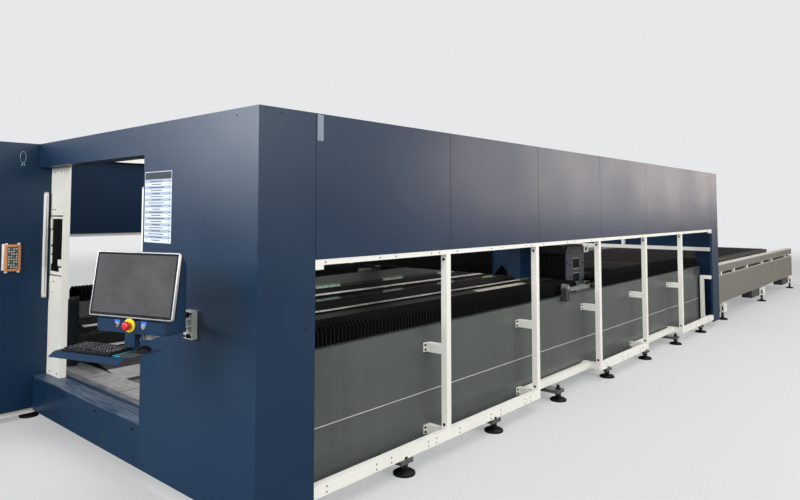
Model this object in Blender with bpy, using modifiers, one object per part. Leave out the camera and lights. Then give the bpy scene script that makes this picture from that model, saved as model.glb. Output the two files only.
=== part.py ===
# Fibre laser cutting machine with an open-sided enclosure and a shuttle table.
# Machine frame: X runs from the operator's end to the shuttle table, Y from the near
# long side to the far one, Z up from the floor. The near front corner is X = Y = 0.
import math

import bmesh
import bpy
from mathutils import Matrix, Vector

# Sheet metal, fits and tube stock
SHEET = 0.003
GAP = 0.0003
RUNNING_GAP = 0.0005
PANEL_JOINT = 0.002
TUBE = 0.05

# Enclosure
ENCLOSURE_LENGTH = 8.62
ENCLOSURE_WIDTH = 4.0
ENCLOSURE_TOP = 2.31
COVER_BOTTOM = 0.07
COVER_RETURN = 0.03
CORNER_SEAM = 0.104
CORNER_END = 0.405
END_COVER_START = 8.30
FASCIA_PITCH = 1.305
FASCIA_COUNT = 6
FASCIA_RETURN = 0.075
NEAR_FASCIA_BOTTOM = 1.457
FAR_FASCIA_BOTTOM = 1.507

# Front end
FRONT_PANEL_WIDTH = 1.255
FRONT_PANEL_FLANGE = 0.05
FRONT_BOX_DEPTH = 0.15
BEAM_BOTTOM = 2.11
SILL_TOP = 0.355
SILL_HOLE_RADIUS = 0.006
SILL_HOLE_HEIGHT = 0.304
SILL_HOLE_INSET = 0.085
SILL_HOLE_PITCH = 0.561
SILL_HOLES = 4
APRON_START = 0.164
LEDGE_WIDTH = 0.096
LEDGE_DROP = 0.005
APRON_STEP = 0.038
APRON_FALL = 0.012
APRON_FLANGE = 0.10
APRON_INSET = 0.60
POST_START = 0.10
POST_DEPTH = 0.055
POST_Y = 2.83
POST_WINDOW = (0.015, 0.25)
POST_WINDOW_LOW = 1.225
POST_WINDOW_HIGH = 1.671
CURTAIN_WIDTH = 0.03
CURTAIN_LOW = 1.0
CURTAIN_HIGH = 1.90
NEAR_CURTAIN_X = 0.004
FAR_CURTAIN_X = 0.04

# White side frames
RAIL_BOTTOM = 0.10
RAIL_HEIGHT = 0.07
TOP_RAIL_HEIGHT = 0.033
FRAME_SETBACK = 0.002
STUB_HEIGHT = 0.066
STUB_UPPER = 0.70
STUB_LOWER = 0.104
SETBACK_RAIL = (0.125, 0.175)
STUB_INSET = 0.002
STUB_FLANGE = 0.03
STUB_FLANGE_THICK = 0.006
END_BRACKET_DEPTH = 0.17
END_BRACKET_TOP = 0.76

# Roof frame and rear wall
ROOF_CROSS_FASCIAS = (2, 4)
REAR_PANEL_INSET = 0.02
REAR_OPENING_INSET = 0.33
REAR_OPENING_TOP = 1.14
REAR_RAIL_LOW = 1.11
REAR_RAIL_HEIGHT = 0.055
REAR_POST_OFFSET = 0.555

# Control cabinet at the far front corner
CABINET_SIDE = 3.1
CABINET_FRONT = -0.95
CABINET_BACK = 0.10
CABINET_BOTTOM = 0.09
CABINET_RIM = 0.05
PLINTH_INSET = 0.02
PLINTH_BOTTOM = 0.045
DOOR_THICK = 0.0197
DOOR_MARGIN = 0.005
HINGE_MARGIN = 0.015
HINGE_RADIUS = 0.008
HINGE_HEIGHT = 0.08
HANDLE_REACH = 0.03
HANDLE_WIDTH = 0.03
HANDLE_LOW = 1.10
HANDLE_HEIGHT = 0.20
SOURCE_LENGTH = 0.80
SOURCE_WIDTH = 0.60
SOURCE_HEIGHT = 0.61
REMOTE_X = -0.25
REMOTE_LENGTH = 0.12
REMOTE_THICK = 0.02
REMOTE_LOW = 1.24
REMOTE_HEIGHT = 0.22

# Bed and pallet tracks
BED_START = 0.50
BED_END = 8.37
BED_SIDE_OUTER = 0.20
BED_SIDE_INNER = 0.55
BED_BOTTOM = 0.09
TRACK_LOW = 0.46
TRACK_RISE = 0.21
TRACK_HIGH = TRACK_LOW + TRACK_RISE
TRACK_THICK = 0.012
TRACK_REACH = 0.66
BED_TOP = TRACK_HIGH + 0.21
GROOVE_HEIGHT = 0.41
GROOVE_SIZE = 0.006
GUIDE_RAIL_Y = 0.36
GUIDE_RAIL_SIZE = (0.03, 0.04)
CHAIN_RISE = 0.105
CHAIN_UPPER_RISE = 0.06
CHAIN_SIZE = (0.02, 0.015)
SLOT_X = 8.07
SLOT_WIDTH = 0.025
SLOT_DEPTH = 0.05
SLOT_LOW = BED_TOP - 0.144
SLOT_HIGH = BED_TOP - 0.026
BED_FOOT_FIRST = 1.21
BED_FOOT_PITCH = 1.083
BED_FOOT_COUNT = 7
BED_FOOT_Y = 0.02
OUTRIGGER_WIDTH = 0.12
OUTRIGGER_Y = (-0.01, 0.25)
OUTRIGGER_Z = (0.07, 0.0997)
CROSS_BEAM_WIDTH = 0.18
CROSS_BEAM_TOP = 0.33
TRAY_RISE = 0.10
TRAY_FLAT = 1.4
TRAY_THICK = 0.004

# Bellows over the long guide rails
BELLOWS_OUTER = 0.24
BELLOWS_INNER = 0.52
BELLOWS_TOP = BED_TOP + 0.125
BELLOWS_PLEAT = 0.065
BELLOWS_PLEAT_DEPTH = 0.022
BELLOWS_END = 0.02
BELLOWS_TUNNEL_MARGIN = 0.015

# Gantry
GANTRY_START = 4.27
GANTRY_LENGTH = 0.43
GANTRY_PLATE_Y = 0.37
GANTRY_PLATE_THICK = 0.015
GANTRY_PLATE_BOTTOM = 0.93
GANTRY_PLATE_TOP = 1.345
GANTRY_CHAMFER = (0.04, 0.055)
PLATE_WINDOW = (0.16, 0.305)
PLATE_WINDOW_LOW = (0.955, 1.06)
PLATE_WINDOW_HIGH = (1.105, 1.22)
RUNNER_LENGTH = 0.35
RUNNER_WIDTH = 0.08
BEAM_BACKSET = 0.06
BEAM_LOW = 0.99
BEAM_HIGH = 1.355
CROSS_RAIL_DEPTH = 0.03
CROSS_RAIL_LOWS = (1.05, 1.20)
CROSS_RAIL_HEIGHT = 0.03
CROSS_RAIL_INSET = 0.04
COVER_DEPTH = 0.05
COVER_LOW = 1.0
COVER_HIGH = 1.268
COVER_PLEAT = 0.065
COVER_PLEAT_DEPTH = 0.02
TOP_COVER_OVERHANG = (0.03, 0.015)
TOP_COVER_LOW = 1.273
TOP_COVER_HIGH = 1.363
DRIVE_X = 3.79
DRIVE_WIDTH = 0.08
DRIVE_LOW = 0.834
DRIVE_HIGH = 1.012
DRIVE_Y = 0.13
DRIVE_THICK = 0.06
DRIVE_ARM_HEIGHT = 0.03

# Cutting head
HEAD_FRONT = 3.90
HEAD_CENTRE = 0.9425
HEAD_WIDTH = 0.354
HEAD_CHAMFER = 0.0875
HEAD_BACK = 4.1997
HOUSING_LOW = 1.01
HOUSING_HIGH = 1.70
NOTCH_HALF = 0.145
NOTCH_HEIGHT = 0.14
HEAD_CLEARANCE = 0.01
SADDLE_WIDTH = 0.26
SADDLE_LOW = 1.02
SADDLE_HIGH = 1.262
LIFT_PLATE_FRONT = 4.20
LIFT_PLATE_THICK = 0.035
OPTIC_WIDTH = 0.105
OPTIC_DEPTH = 0.115
OPTIC_LOW = 1.20
OPTIC_HIGH = 1.50
BARREL_RADIUS = 0.032
BARREL_LOW = 1.08
SLIDE_PLATE_THICK = 0.095
NOZZLE_TIP = 1.0
NOZZLE_RADIUS = 0.026
NOZZLE_TIP_RADIUS = 0.006
NOZZLE_BORE = 0.002
NOZZLE_COLLAR = 0.03

# Shuttle pallets and table
PALLET_START = 8.76
PALLET_LENGTH = 6.10
PALLET_SIDE = 0.58
PALLET_DEPTH = 0.145
PALLET_BAR = 0.08
SLAT_PITCH = 0.10
SLAT_THICK = 0.01
WHEEL_RADIUS = 0.042
WHEEL_WIDTH = 0.045
WHEEL_INSET = 0.02
WHEEL_DROP = 0.04
WHEEL_COUNT = 6
WHEEL_END = 0.35
TABLE_START = 8.64
TABLE_END = 14.96
TABLE_SIDE_OUTER = 0.10
TABLE_TOP = TRACK_HIGH + 0.20
TABLE_BOTTOM = 0.26
TABLE_SLOT_LOW = TRACK_HIGH + 0.035
TABLE_SLOT_HEIGHT = 0.04
TABLE_SLOT_DEPTH = 0.08
TABLE_LIP = 0.12
TABLE_GUTTER = TRACK_HIGH + 0.08
TABLE_FOOT_Y = 0.08
TABLE_FOOT_PLATE = (0.06, 0.05, 0.10)
TABLE_FOOT_FIRST = 9.14
TABLE_FOOT_PITCH = 2.73
TABLE_FEET = 3
DOCK_INNER = 0.40
DOCK_LOW = TRACK_LOW - 0.06
DOCK_HIGH = TRACK_HIGH + 0.02
LEG_LENGTH = 0.76
LEG_END = 0.04
LEG_INSET = 0.003
LEG_WIDTH = 0.17
LEG_BOTTOM = 0.12
TABLE_BEAM_LOW = 0.30
TABLE_BEAM_HEIGHT = 0.12
TABLE_BEAM_WIDTH = 0.12

# Levelling feet
FOOT_RADIUS = 0.075
FOOT_SHOULDER = 0.06
FOOT_THICK = 0.022
STEM_RADIUS = 0.016

# Operator console, measured from its own pivot: inward from the operator, to the
# operator's left, and up from the floor
BRACKET_Y = 0.62
BRACKET_PLATE = (0.09, 0.035)
BRACKET_LOW = 0.99
BRACKET_HEIGHT = 0.165
EAR_WIDTH = 0.06
EAR_REACH = 0.09
EAR_THICK = 0.012
PIN_X = -0.065
PIN_RADIUS = 0.010
KNOB_RADIUS = 0.016
KNOB_HEIGHT = 0.025
ARM_LOW = 1.075
ARM_HEIGHT = 0.03
ARM_RADIUS = 0.028
PIVOT_X = -0.3933
PIVOT_Y = 0.3892
PIVOT_RADIUS = 0.018
CONSOLE_YAW = math.radians(18.0)
CONSOLE_LOW = 1.12
CONSOLE_SHIFT = 0.035
CONSOLE_FACE = -0.1375
CONTROL_RISE = 0.04
CONTROL_HEIGHT = CONSOLE_LOW + CONTROL_RISE
CONSOLE_FACE_TOP = CONTROL_HEIGHT + 0.025
CONSOLE_BACK = 0.006
CONSOLE_BACK_TOP = CONSOLE_FACE_TOP + 0.275
CONSOLE_RIDGE = (-0.02, CONSOLE_BACK_TOP + 0.04)
CONSOLE_RIGHT = -0.207
CONSOLE_LEFT = 0.25
MONITOR_WIDTH = 0.56
MONITOR_HEIGHT = 0.335
MONITOR_THICK = 0.035
MONITOR_Y = 0.022
MONITOR_FOOT = (-0.148, CONSOLE_FACE_TOP + 0.013)
MONITOR_TILT = math.radians(8.5)
STOP_Y = 0.025
STOP_RING_RADIUS = 0.035
STOP_HEAD_RADIUS = 0.022
STOP_STEM_RADIUS = 0.011
STOP_HEAD_BACK = -0.1545
STOP_HEAD_FRONT = -0.1745
STOP_STEM_END = -0.1275
SELECTOR_Y = 0.109
START_Y = -0.068
BEZEL_RADIUS = 0.0125
BEZEL_THICK = 0.003
RING_THICK = 0.004
CAP_RADIUS = 0.009
SELECTOR_FRONT = -0.1525
START_FRONT = -0.1445
START_END = -0.1225
BORE_DEPTH = 0.035
TRAY_FRONT = -0.321
TRAY_BACK = -0.10
TRAY_RIGHT = -0.155
TRAY_LEFT = 0.33
TRAY_TOP = 1.045
LIP_DROP = 0.022
LIP_REACH = 0.035
PEDESTAL_X = (-0.14, -0.104)
PEDESTAL_Y = (-0.012, 0.055)
TRAY_NOTCH = (0.022, 0.03)
KEYBOARD_LOW = (-0.318, -0.035)
KEYBOARD_HIGH = (-0.165, 0.288)
KEYBOARD_HEIGHT = 0.02
MOUSE_LOW = (-0.215, -0.122)
MOUSE_HIGH = (-0.115, -0.064)
MOUSE_HEIGHT = 0.026

# The model's origin is the middle of the footprint, on the floor
X_MIN = CABINET_FRONT - GAP - DOOR_THICK - HANDLE_REACH
ORIGIN = Vector(((X_MIN + TABLE_END) / 2, ENCLOSURE_WIDTH / 2, 0.0))

# Turns a plane outline so that its normal lies along the named axis
OUTLINE_AXES = {
    "X": Matrix(((0, 0, 1, 0), (1, 0, 0, 0), (0, 1, 0, 0), (0, 0, 0, 1))),
    "Y": Matrix(((1, 0, 0, 0), (0, 0, -1, 0), (0, 1, 0, 0), (0, 0, 0, 1))),
    "Z": Matrix.Identity(4),
}

for old in list(bpy.data.objects):
    bpy.data.objects.remove(old)

PARTS = bpy.data.collections.new("laser_cutting_machine")
CUTTERS = bpy.data.collections.new("cutters")
bpy.context.scene.collection.children.link(PARTS)
bpy.context.scene.collection.children.link(CUTTERS)


def material(name, colour, roughness, metallic=0.0):
    made = bpy.data.materials.new(name)
    made.use_nodes = True
    shader = made.node_tree.nodes["Principled BSDF"]
    shader.inputs["Base Color"].default_value = (*colour, 1.0)
    shader.inputs["Roughness"].default_value = roughness
    shader.inputs["Metallic"].default_value = metallic
    return made


NAVY = material("navy_powder_coat", (0.022, 0.044, 0.090), 0.45)
WHITE = material("white_powder_coat", (0.80, 0.78, 0.71), 0.45)
BED_GREY = material("bed_grey_paint", (0.125, 0.135, 0.130), 0.40)
TABLE_GREY = material("table_beige_paint", (0.32, 0.30, 0.26), 0.40)
BLACK_CLOTH = material("black_bellows_cloth", (0.012, 0.012, 0.014), 0.85)
DARK_STEEL = material("dark_slag_steel", (0.05, 0.048, 0.047), 0.60, 0.6)
STEEL = material("bright_steel", (0.55, 0.55, 0.56), 0.30, 1.0)
BLACK_PLASTIC = material("black_plastic", (0.014, 0.014, 0.016), 0.40)
SILVER = material("silver_paint", (0.50, 0.51, 0.53), 0.30, 0.7)
RED_PLASTIC = material("red_plastic", (0.60, 0.02, 0.02), 0.35)
ORANGE_PLASTIC = material("orange_plastic", (0.75, 0.24, 0.06), 0.45)
BRASS = material("nozzle_copper", (0.70, 0.36, 0.20), 0.30, 1.0)


def empty(name, place, parent=None, turn=0.0):
    holder = bpy.data.objects.new(name, None)
    holder.location = place
    holder.rotation_euler = (0.0, 0.0, turn)
    holder.parent = parent
    PARTS.objects.link(holder)
    return holder


MACHINE = empty("machine", -ORIGIN)


def make_object(name, bm, place, finish, collection=None):
    mesh = bpy.data.meshes.new(name)
    bm.to_mesh(mesh)
    bm.free()
    made = bpy.data.objects.new(name, mesh)
    made.location = place
    made.parent = MACHINE
    if finish:
        mesh.materials.append(finish)
    (collection or PARTS).objects.link(made)
    return made


def block(name, low, high, finish=None):
    low, high = (Vector(map(f, low, high)) for f in (min, max))
    bm = bmesh.new()
    bmesh.ops.create_cube(bm, size=1.0)
    bmesh.ops.scale(bm, vec=high - low, verts=bm.verts)
    return make_object(name, bm, (low + high) / 2, finish)


def outline_solid(name, rings, axis, start, end, finish=None):
    # A flat outline, with any holes in it, given its thickness along one axis
    curve = bpy.data.curves.new(name, "CURVE")
    curve.dimensions = "2D"
    curve.fill_mode = "BOTH"
    curve.extrude = abs(end - start) / 2
    for ring in rings:
        spline = curve.splines.new("POLY")
        spline.points.add(len(ring) - 1)
        spline.use_cyclic_u = True
        for point, (u, v) in zip(spline.points, ring):
            point.co = (u, v, 0.0, 1.0)
    flat = bpy.data.objects.new(name + "_outline", curve)
    PARTS.objects.link(flat)
    depsgraph = bpy.context.evaluated_depsgraph_get()
    mesh = bpy.data.meshes.new_from_object(flat.evaluated_get(depsgraph))
    bpy.data.objects.remove(flat)
    bm = bmesh.new()
    bm.from_mesh(mesh)
    bpy.data.meshes.remove(mesh)
    bmesh.ops.remove_doubles(bm, verts=bm.verts, dist=0.00002)
    for side in (-1, 1):
        # Points in line leave slivers in the fill, which the Booleans can't take
        cap = [f for f in bm.faces if all(v.co.z * side > 0 for v in f.verts)]
        within = set(cap)
        inner = [e for e in bm.edges if len(e.link_faces) == 2 and set(e.link_faces) <= within]
        bmesh.ops.beautify_fill(bm, faces=cap, edges=inner)
    bm.transform(OUTLINE_AXES[axis])
    bmesh.ops.recalc_face_normals(bm, faces=bm.faces)
    for face in bm.faces:
        face.smooth = False
    place = Vector((0.0, 0.0, 0.0))
    place["XYZ".index(axis)] = (start + end) / 2
    return make_object(name, bm, place, finish)


def turned(name, profile, centre, axis="Z", finish=None, segments=16):
    # A profile of radius and height turned round an axis through the centre
    bm = bmesh.new()
    points = [bm.verts.new((radius, 0.0, height)) for radius, height in profile]
    edges = [bm.edges.new(pair) for pair in zip(points, points[1:])]
    if profile[0][0] > 0 or profile[-1][0] > 0:
        edges.append(bm.edges.new((points[-1], points[0])))
    bmesh.ops.spin(
        bm, geom=points + edges, cent=(0, 0, 0), axis=(0, 0, 1), angle=math.tau,
        steps=segments, use_merge=True,
    )
    bmesh.ops.remove_doubles(bm, verts=bm.verts, dist=0.00002)
    bmesh.ops.dissolve_degenerate(bm, dist=0.00001, edges=bm.edges)
    turn = {"X": Matrix.Rotation(math.pi / 2, 4, "Y"), "Y": Matrix.Rotation(-math.pi / 2, 4, "X")}
    bm.transform(turn.get(axis, Matrix.Identity(4)))
    bmesh.ops.recalc_face_normals(bm, faces=bm.faces)
    made = make_object(name, bm, centre, finish)
    made.data.shade_smooth()
    made.data.set_sharp_from_angle(angle=math.radians(35))
    return made


def cylinder(name, radius, start, end, centre, axis="Z", finish=None, segments=16):
    profile = [(0.0, start), (radius, start), (radius, end), (0.0, end)]
    return turned(name, profile, centre, axis, finish, segments)


def foot(name, x, y, top):
    # A levelling foot: a chamfered disc on the floor and a stem up into its carrier
    shoulder = FOOT_THICK * 0.5
    profile = [
        (0.0, 0.0), (FOOT_RADIUS, 0.0), (FOOT_RADIUS, shoulder), (FOOT_SHOULDER, FOOT_THICK),
        (STEM_RADIUS, FOOT_THICK), (STEM_RADIUS, top), (0.0, top),
    ]
    return turned(name, profile, (x, y, 0.0), segments=12)


def gather(name, pieces):
    # Several separate shells in one mesh, for one Boolean
    bm = bmesh.new()
    for piece in pieces:
        shell = piece.data
        offset = Matrix.Translation(piece.location)
        part = bmesh.new()
        part.from_mesh(shell)
        part.transform(offset)
        copied = bpy.data.meshes.new(name)
        part.to_mesh(copied)
        part.free()
        bm.from_mesh(copied)
        bpy.data.meshes.remove(copied)
        bpy.data.objects.remove(piece)
        bpy.data.meshes.remove(shell)
    return make_object(name, bm, (0, 0, 0), None, CUTTERS)


def add_step(target, tool, operation, label):
    tool.hide_render = True
    tool.display_type = "WIRE"
    step = target.modifiers.new(label, "BOOLEAN")
    step.operation = operation
    step.solver = "EXACT"
    step.object = tool


def unite(target, *tools, label="joined"):
    add_step(target, gather(f"{target.name}_{label}", tools), "UNION", label)


def cut(target, *tools, label="cut"):
    add_step(target, gather(f"{target.name}_{label}", tools), "DIFFERENCE", label)


def soften(target, width, segments=2):
    step = target.modifiers.new("edges", "BEVEL")
    step.width = width
    step.segments = segments
    step.limit_method = "ANGLE"
    step.angle_limit = math.radians(40)


def carry(holder, *pieces):
    # Hangs pieces, placed in the machine frame, on a moving empty
    for piece in pieces:
        piece.parent = holder
        piece.location = piece.location - holder.location
        for step in piece.modifiers:
            if step.type == "BOOLEAN":
                step.object.parent = holder
                step.object.location = step.object.location - holder.location


def ride(holder, shift, *pieces):
    # Hangs pieces, placed in the holder's own frame but for a shift, on a turned empty
    for piece in pieces:
        piece.parent = holder
        piece.location = piece.location + shift
        for step in piece.modifiers:
            if step.type == "BOOLEAN":
                step.object.parent = holder
                step.object.location = step.object.location + shift


def rectangle(u0, v0, u1, v1):
    return [(u0, v0), (u1, v0), (u1, v1), (u0, v1)]


def mirrored_y(y, far):
    return ENCLOSURE_WIDTH - y if far else y


def mirrored_outline(points, far):
    return [(mirrored_y(y, far), v) for y, v in points]


def mirrored_plan(points, far):
    return [(x, mirrored_y(y, far)) for x, y in points]


def channel(u0, u1, v0, v1, reach):
    # A folded skin along u0 with a return at each end, all of one sheet
    side = SHEET if reach > u0 else -SHEET
    return [
        (u0, v0), (reach, v0), (reach, v0 + SHEET), (u0 + side, v0 + SHEET),
        (u0 + side, v1 - SHEET), (reach, v1 - SHEET), (reach, v1), (u0, v1),
    ]


def fascia_seam(index):
    return END_COVER_START if index == FASCIA_COUNT else CORNER_END + index * FASCIA_PITCH


def post_right(index):
    # Posts stand under the fascia seams, with their right edge on the seam
    return fascia_seam(index)


def build_front():
    width = FRONT_PANEL_WIDTH
    panel = outline_solid("front_panel", [[
        (0, 0), (CORNER_SEAM, 0), (CORNER_SEAM, SHEET), (SHEET, SHEET),
        (SHEET, width - SHEET), (FRONT_PANEL_FLANGE, width - SHEET),
        (FRONT_PANEL_FLANGE, width), (0, width),
    ]], "Z", COVER_BOTTOM, ENCLOSURE_TOP, NAVY)
    opening = (width + GAP, CABINET_SIDE - GAP)
    depth = FRONT_BOX_DEPTH
    outline_solid("front_beam", [[
        (0, BEAM_BOTTOM), (depth, BEAM_BOTTOM), (depth, BEAM_BOTTOM + SHEET),
        (SHEET, BEAM_BOTTOM + SHEET), (SHEET, ENCLOSURE_TOP - SHEET),
        (depth, ENCLOSURE_TOP - SHEET), (depth, ENCLOSURE_TOP), (0, ENCLOSURE_TOP),
    ]], "Y", *opening, NAVY)
    sill = outline_solid("front_sill", [[
        (0, COVER_BOTTOM), (SHEET, COVER_BOTTOM), (SHEET, SILL_TOP - SHEET),
        (depth - SHEET, SILL_TOP - SHEET), (depth - SHEET, COVER_BOTTOM),
        (depth, COVER_BOTTOM), (depth, SILL_TOP), (0, SILL_TOP),
    ]], "Y", *opening, NAVY)
    holes = []
    for index in range(SILL_HOLES):
        y = width + SILL_HOLE_INSET + index * SILL_HOLE_PITCH
        holes.append(cylinder("hole", SILL_HOLE_RADIUS, -0.02, 0.02,
                              (0, y, SILL_HOLE_HEIGHT), "X", segments=8))
    cut(sill, *holes)

    ledge = SILL_TOP - LEDGE_DROP
    step = APRON_START + LEDGE_WIDTH
    floor = ledge - APRON_STEP
    back = BED_START - GAP
    outline_solid("entry_apron", [[
        (APRON_START, ledge - APRON_FLANGE), (APRON_START, ledge), (step, ledge), (step, floor),
        (back, floor - APRON_FALL), (back, floor - APRON_FALL - SHEET),
        (step - SHEET, floor - SHEET), (step - SHEET, ledge - SHEET),
        (APRON_START + SHEET, ledge - SHEET), (APRON_START + SHEET, ledge - APRON_FLANGE),
    ]], "Y", APRON_INSET, ENCLOSURE_WIDTH - APRON_INSET, NAVY)

    post_back = POST_START + POST_DEPTH
    post_end = CABINET_SIDE - GAP
    post = outline_solid("door_post", [[
        (POST_START, POST_Y), (post_back, POST_Y), (post_back, POST_Y + SHEET),
        (POST_START + SHEET, POST_Y + SHEET), (POST_START + SHEET, post_end),
        (POST_START, post_end),
    ]], "Z", SILL_TOP + GAP, BEAM_BOTTOM - GAP, WHITE)
    cut(post, block(
        "window", (POST_START - SHEET, POST_Y + POST_WINDOW[0], POST_WINDOW_LOW),
        (POST_START + SHEET * 2, POST_Y + POST_WINDOW[1], POST_WINDOW_HIGH)))

    block("light_curtain_near", (NEAR_CURTAIN_X, width + GAP, CURTAIN_LOW),
          (NEAR_CURTAIN_X + CURTAIN_WIDTH, width + CURTAIN_WIDTH, CURTAIN_HIGH), WHITE)
    block("light_curtain_far", (FAR_CURTAIN_X, CABINET_SIDE - CURTAIN_WIDTH, CURTAIN_LOW),
          (FAR_CURTAIN_X + CURTAIN_WIDTH, CABINET_SIDE - GAP, CURTAIN_HIGH), WHITE)
    return panel


def cover_strip(name, start, end, far):
    plan = [(x, y) for y, x in channel(0.0, 0.0, start, end, COVER_RETURN)]
    outline_solid(name, [mirrored_plan(plan, far)], "Z", COVER_BOTTOM, ENCLOSURE_TOP, NAVY)


def build_covers():
    cover_strip("corner_cover", CORNER_SEAM + GAP, CORNER_END, False)
    cover_strip("end_cover_near", END_COVER_START + PANEL_JOINT, ENCLOSURE_LENGTH, False)
    cover_strip("end_cover_far", END_COVER_START + PANEL_JOINT, ENCLOSURE_LENGTH, True)
    for index in range(FASCIA_COUNT):
        section = channel(0.0, 0.0, NEAR_FASCIA_BOTTOM, ENCLOSURE_TOP, FASCIA_RETURN)
        outline_solid(f"fascia_near_{index + 1}", [section], "X",
                      fascia_seam(index) + PANEL_JOINT, fascia_seam(index + 1), NAVY)

    # The far side is one long cover, full height at the front corner
    outer = ENCLOSURE_WIDTH
    front = CABINET_BACK + GAP
    cover = outline_solid("far_cover", [[
        (front, COVER_BOTTOM), (CORNER_END, COVER_BOTTOM), (CORNER_END, FAR_FASCIA_BOTTOM),
        (END_COVER_START, FAR_FASCIA_BOTTOM), (END_COVER_START, ENCLOSURE_TOP),
        (front, ENCLOSURE_TOP),
    ]], "Y", outer - SHEET, outer, NAVY)
    skin = outer - SHEET * 0.5
    top_start = FRONT_BOX_DEPTH + GAP
    unite(
        cover,
        block("top_return", (top_start, outer - FASCIA_RETURN, ENCLOSURE_TOP - SHEET),
              (END_COVER_START - GAP, skin, ENCLOSURE_TOP - GAP)),
        block("low_return", (CORNER_END + GAP, outer - FASCIA_RETURN, FAR_FASCIA_BOTTOM + GAP),
              (END_COVER_START - GAP, skin, FAR_FASCIA_BOTTOM + SHEET)),
    )


def side_frame(name, far, top, finish):
    # Welded ladder of rails and posts, its stubs bolted to the bed, on levelling feet
    inner = RAIL_BOTTOM + RAIL_HEIGHT
    under = top - TOP_RAIL_HEIGHT
    start = CORNER_END + GAP
    end = END_COVER_START - GAP
    first = post_right(1) - TUBE
    last = post_right(FASCIA_COUNT - 1)
    # Every second bay has its bottom rail set back between the stubs
    open_bays = range(2, FASCIA_COUNT - 1, 2)
    rim = [(start, RAIL_BOTTOM)]
    for i in open_bays:
        left, right = post_right(i), post_right(i + 1) - TUBE
        rim += [(left, RAIL_BOTTOM), (left, under), (right, under), (right, RAIL_BOTTOM)]
    rim += [
        (end, RAIL_BOTTOM), (end, inner), (last, inner), (last, under),
        (end, under), (end, top), (start, top), (start, under), (first, under),
        (first, inner), (start, inner),
    ]
    bays = [
        rectangle(post_right(i), inner, post_right(i + 1) - TUBE, under)
        for i in range(1, FASCIA_COUNT - 1) if i not in open_bays
    ]
    front = mirrored_y(FRAME_SETBACK, far)
    back = mirrored_y(FRAME_SETBACK + TUBE, far)
    frame = outline_solid(name, [rim] + bays, "Y", front, back, finish)

    extras = []
    bolted = BED_SIDE_OUTER - GAP
    root = FRAME_SETBACK + TUBE * 0.8
    for i in range(1, FASCIA_COUNT):
        right = post_right(i) - STUB_INSET
        left = post_right(i) - TUBE + STUB_INSET
        plan = [
            (left, root), (right, root), (right, bolted), (left - STUB_FLANGE, bolted),
            (left - STUB_FLANGE, bolted - STUB_FLANGE_THICK), (left, bolted - STUB_FLANGE_THICK),
        ]
        for low in (STUB_UPPER, STUB_LOWER):
            extras.append(outline_solid("stub", [mirrored_plan(plan, far)], "Z",
                                        low, low + STUB_HEIGHT))
    bar = TUBE
    low = STUB_LOWER
    bracket = [
        (root, low), (END_BRACKET_DEPTH, low), (END_BRACKET_DEPTH, END_BRACKET_TOP),
        (root - bar * 0.5, END_BRACKET_TOP), (root - bar * 0.5, END_BRACKET_TOP - bar),
        (END_BRACKET_DEPTH - bar, END_BRACKET_TOP - bar), (END_BRACKET_DEPTH - bar, low + bar),
        (root, low + bar),
    ]
    extras.append(outline_solid("bracket", [mirrored_outline(bracket, far)], "X",
                                end - bar, end - STUB_INSET))
    unite(frame, *extras)
    rails = gather(name + "_setback_rails", [
        block("rail", (post_right(i) - TUBE / 2, mirrored_y(SETBACK_RAIL[0], far),
                       STUB_LOWER + STUB_INSET),
              (post_right(i + 1) - TUBE / 2, mirrored_y(SETBACK_RAIL[1], far),
               STUB_LOWER + STUB_HEIGHT - STUB_INSET))
        for i in open_bays
    ])
    add_step(frame, rails, "UNION", "setback_rails")
    return frame


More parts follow.
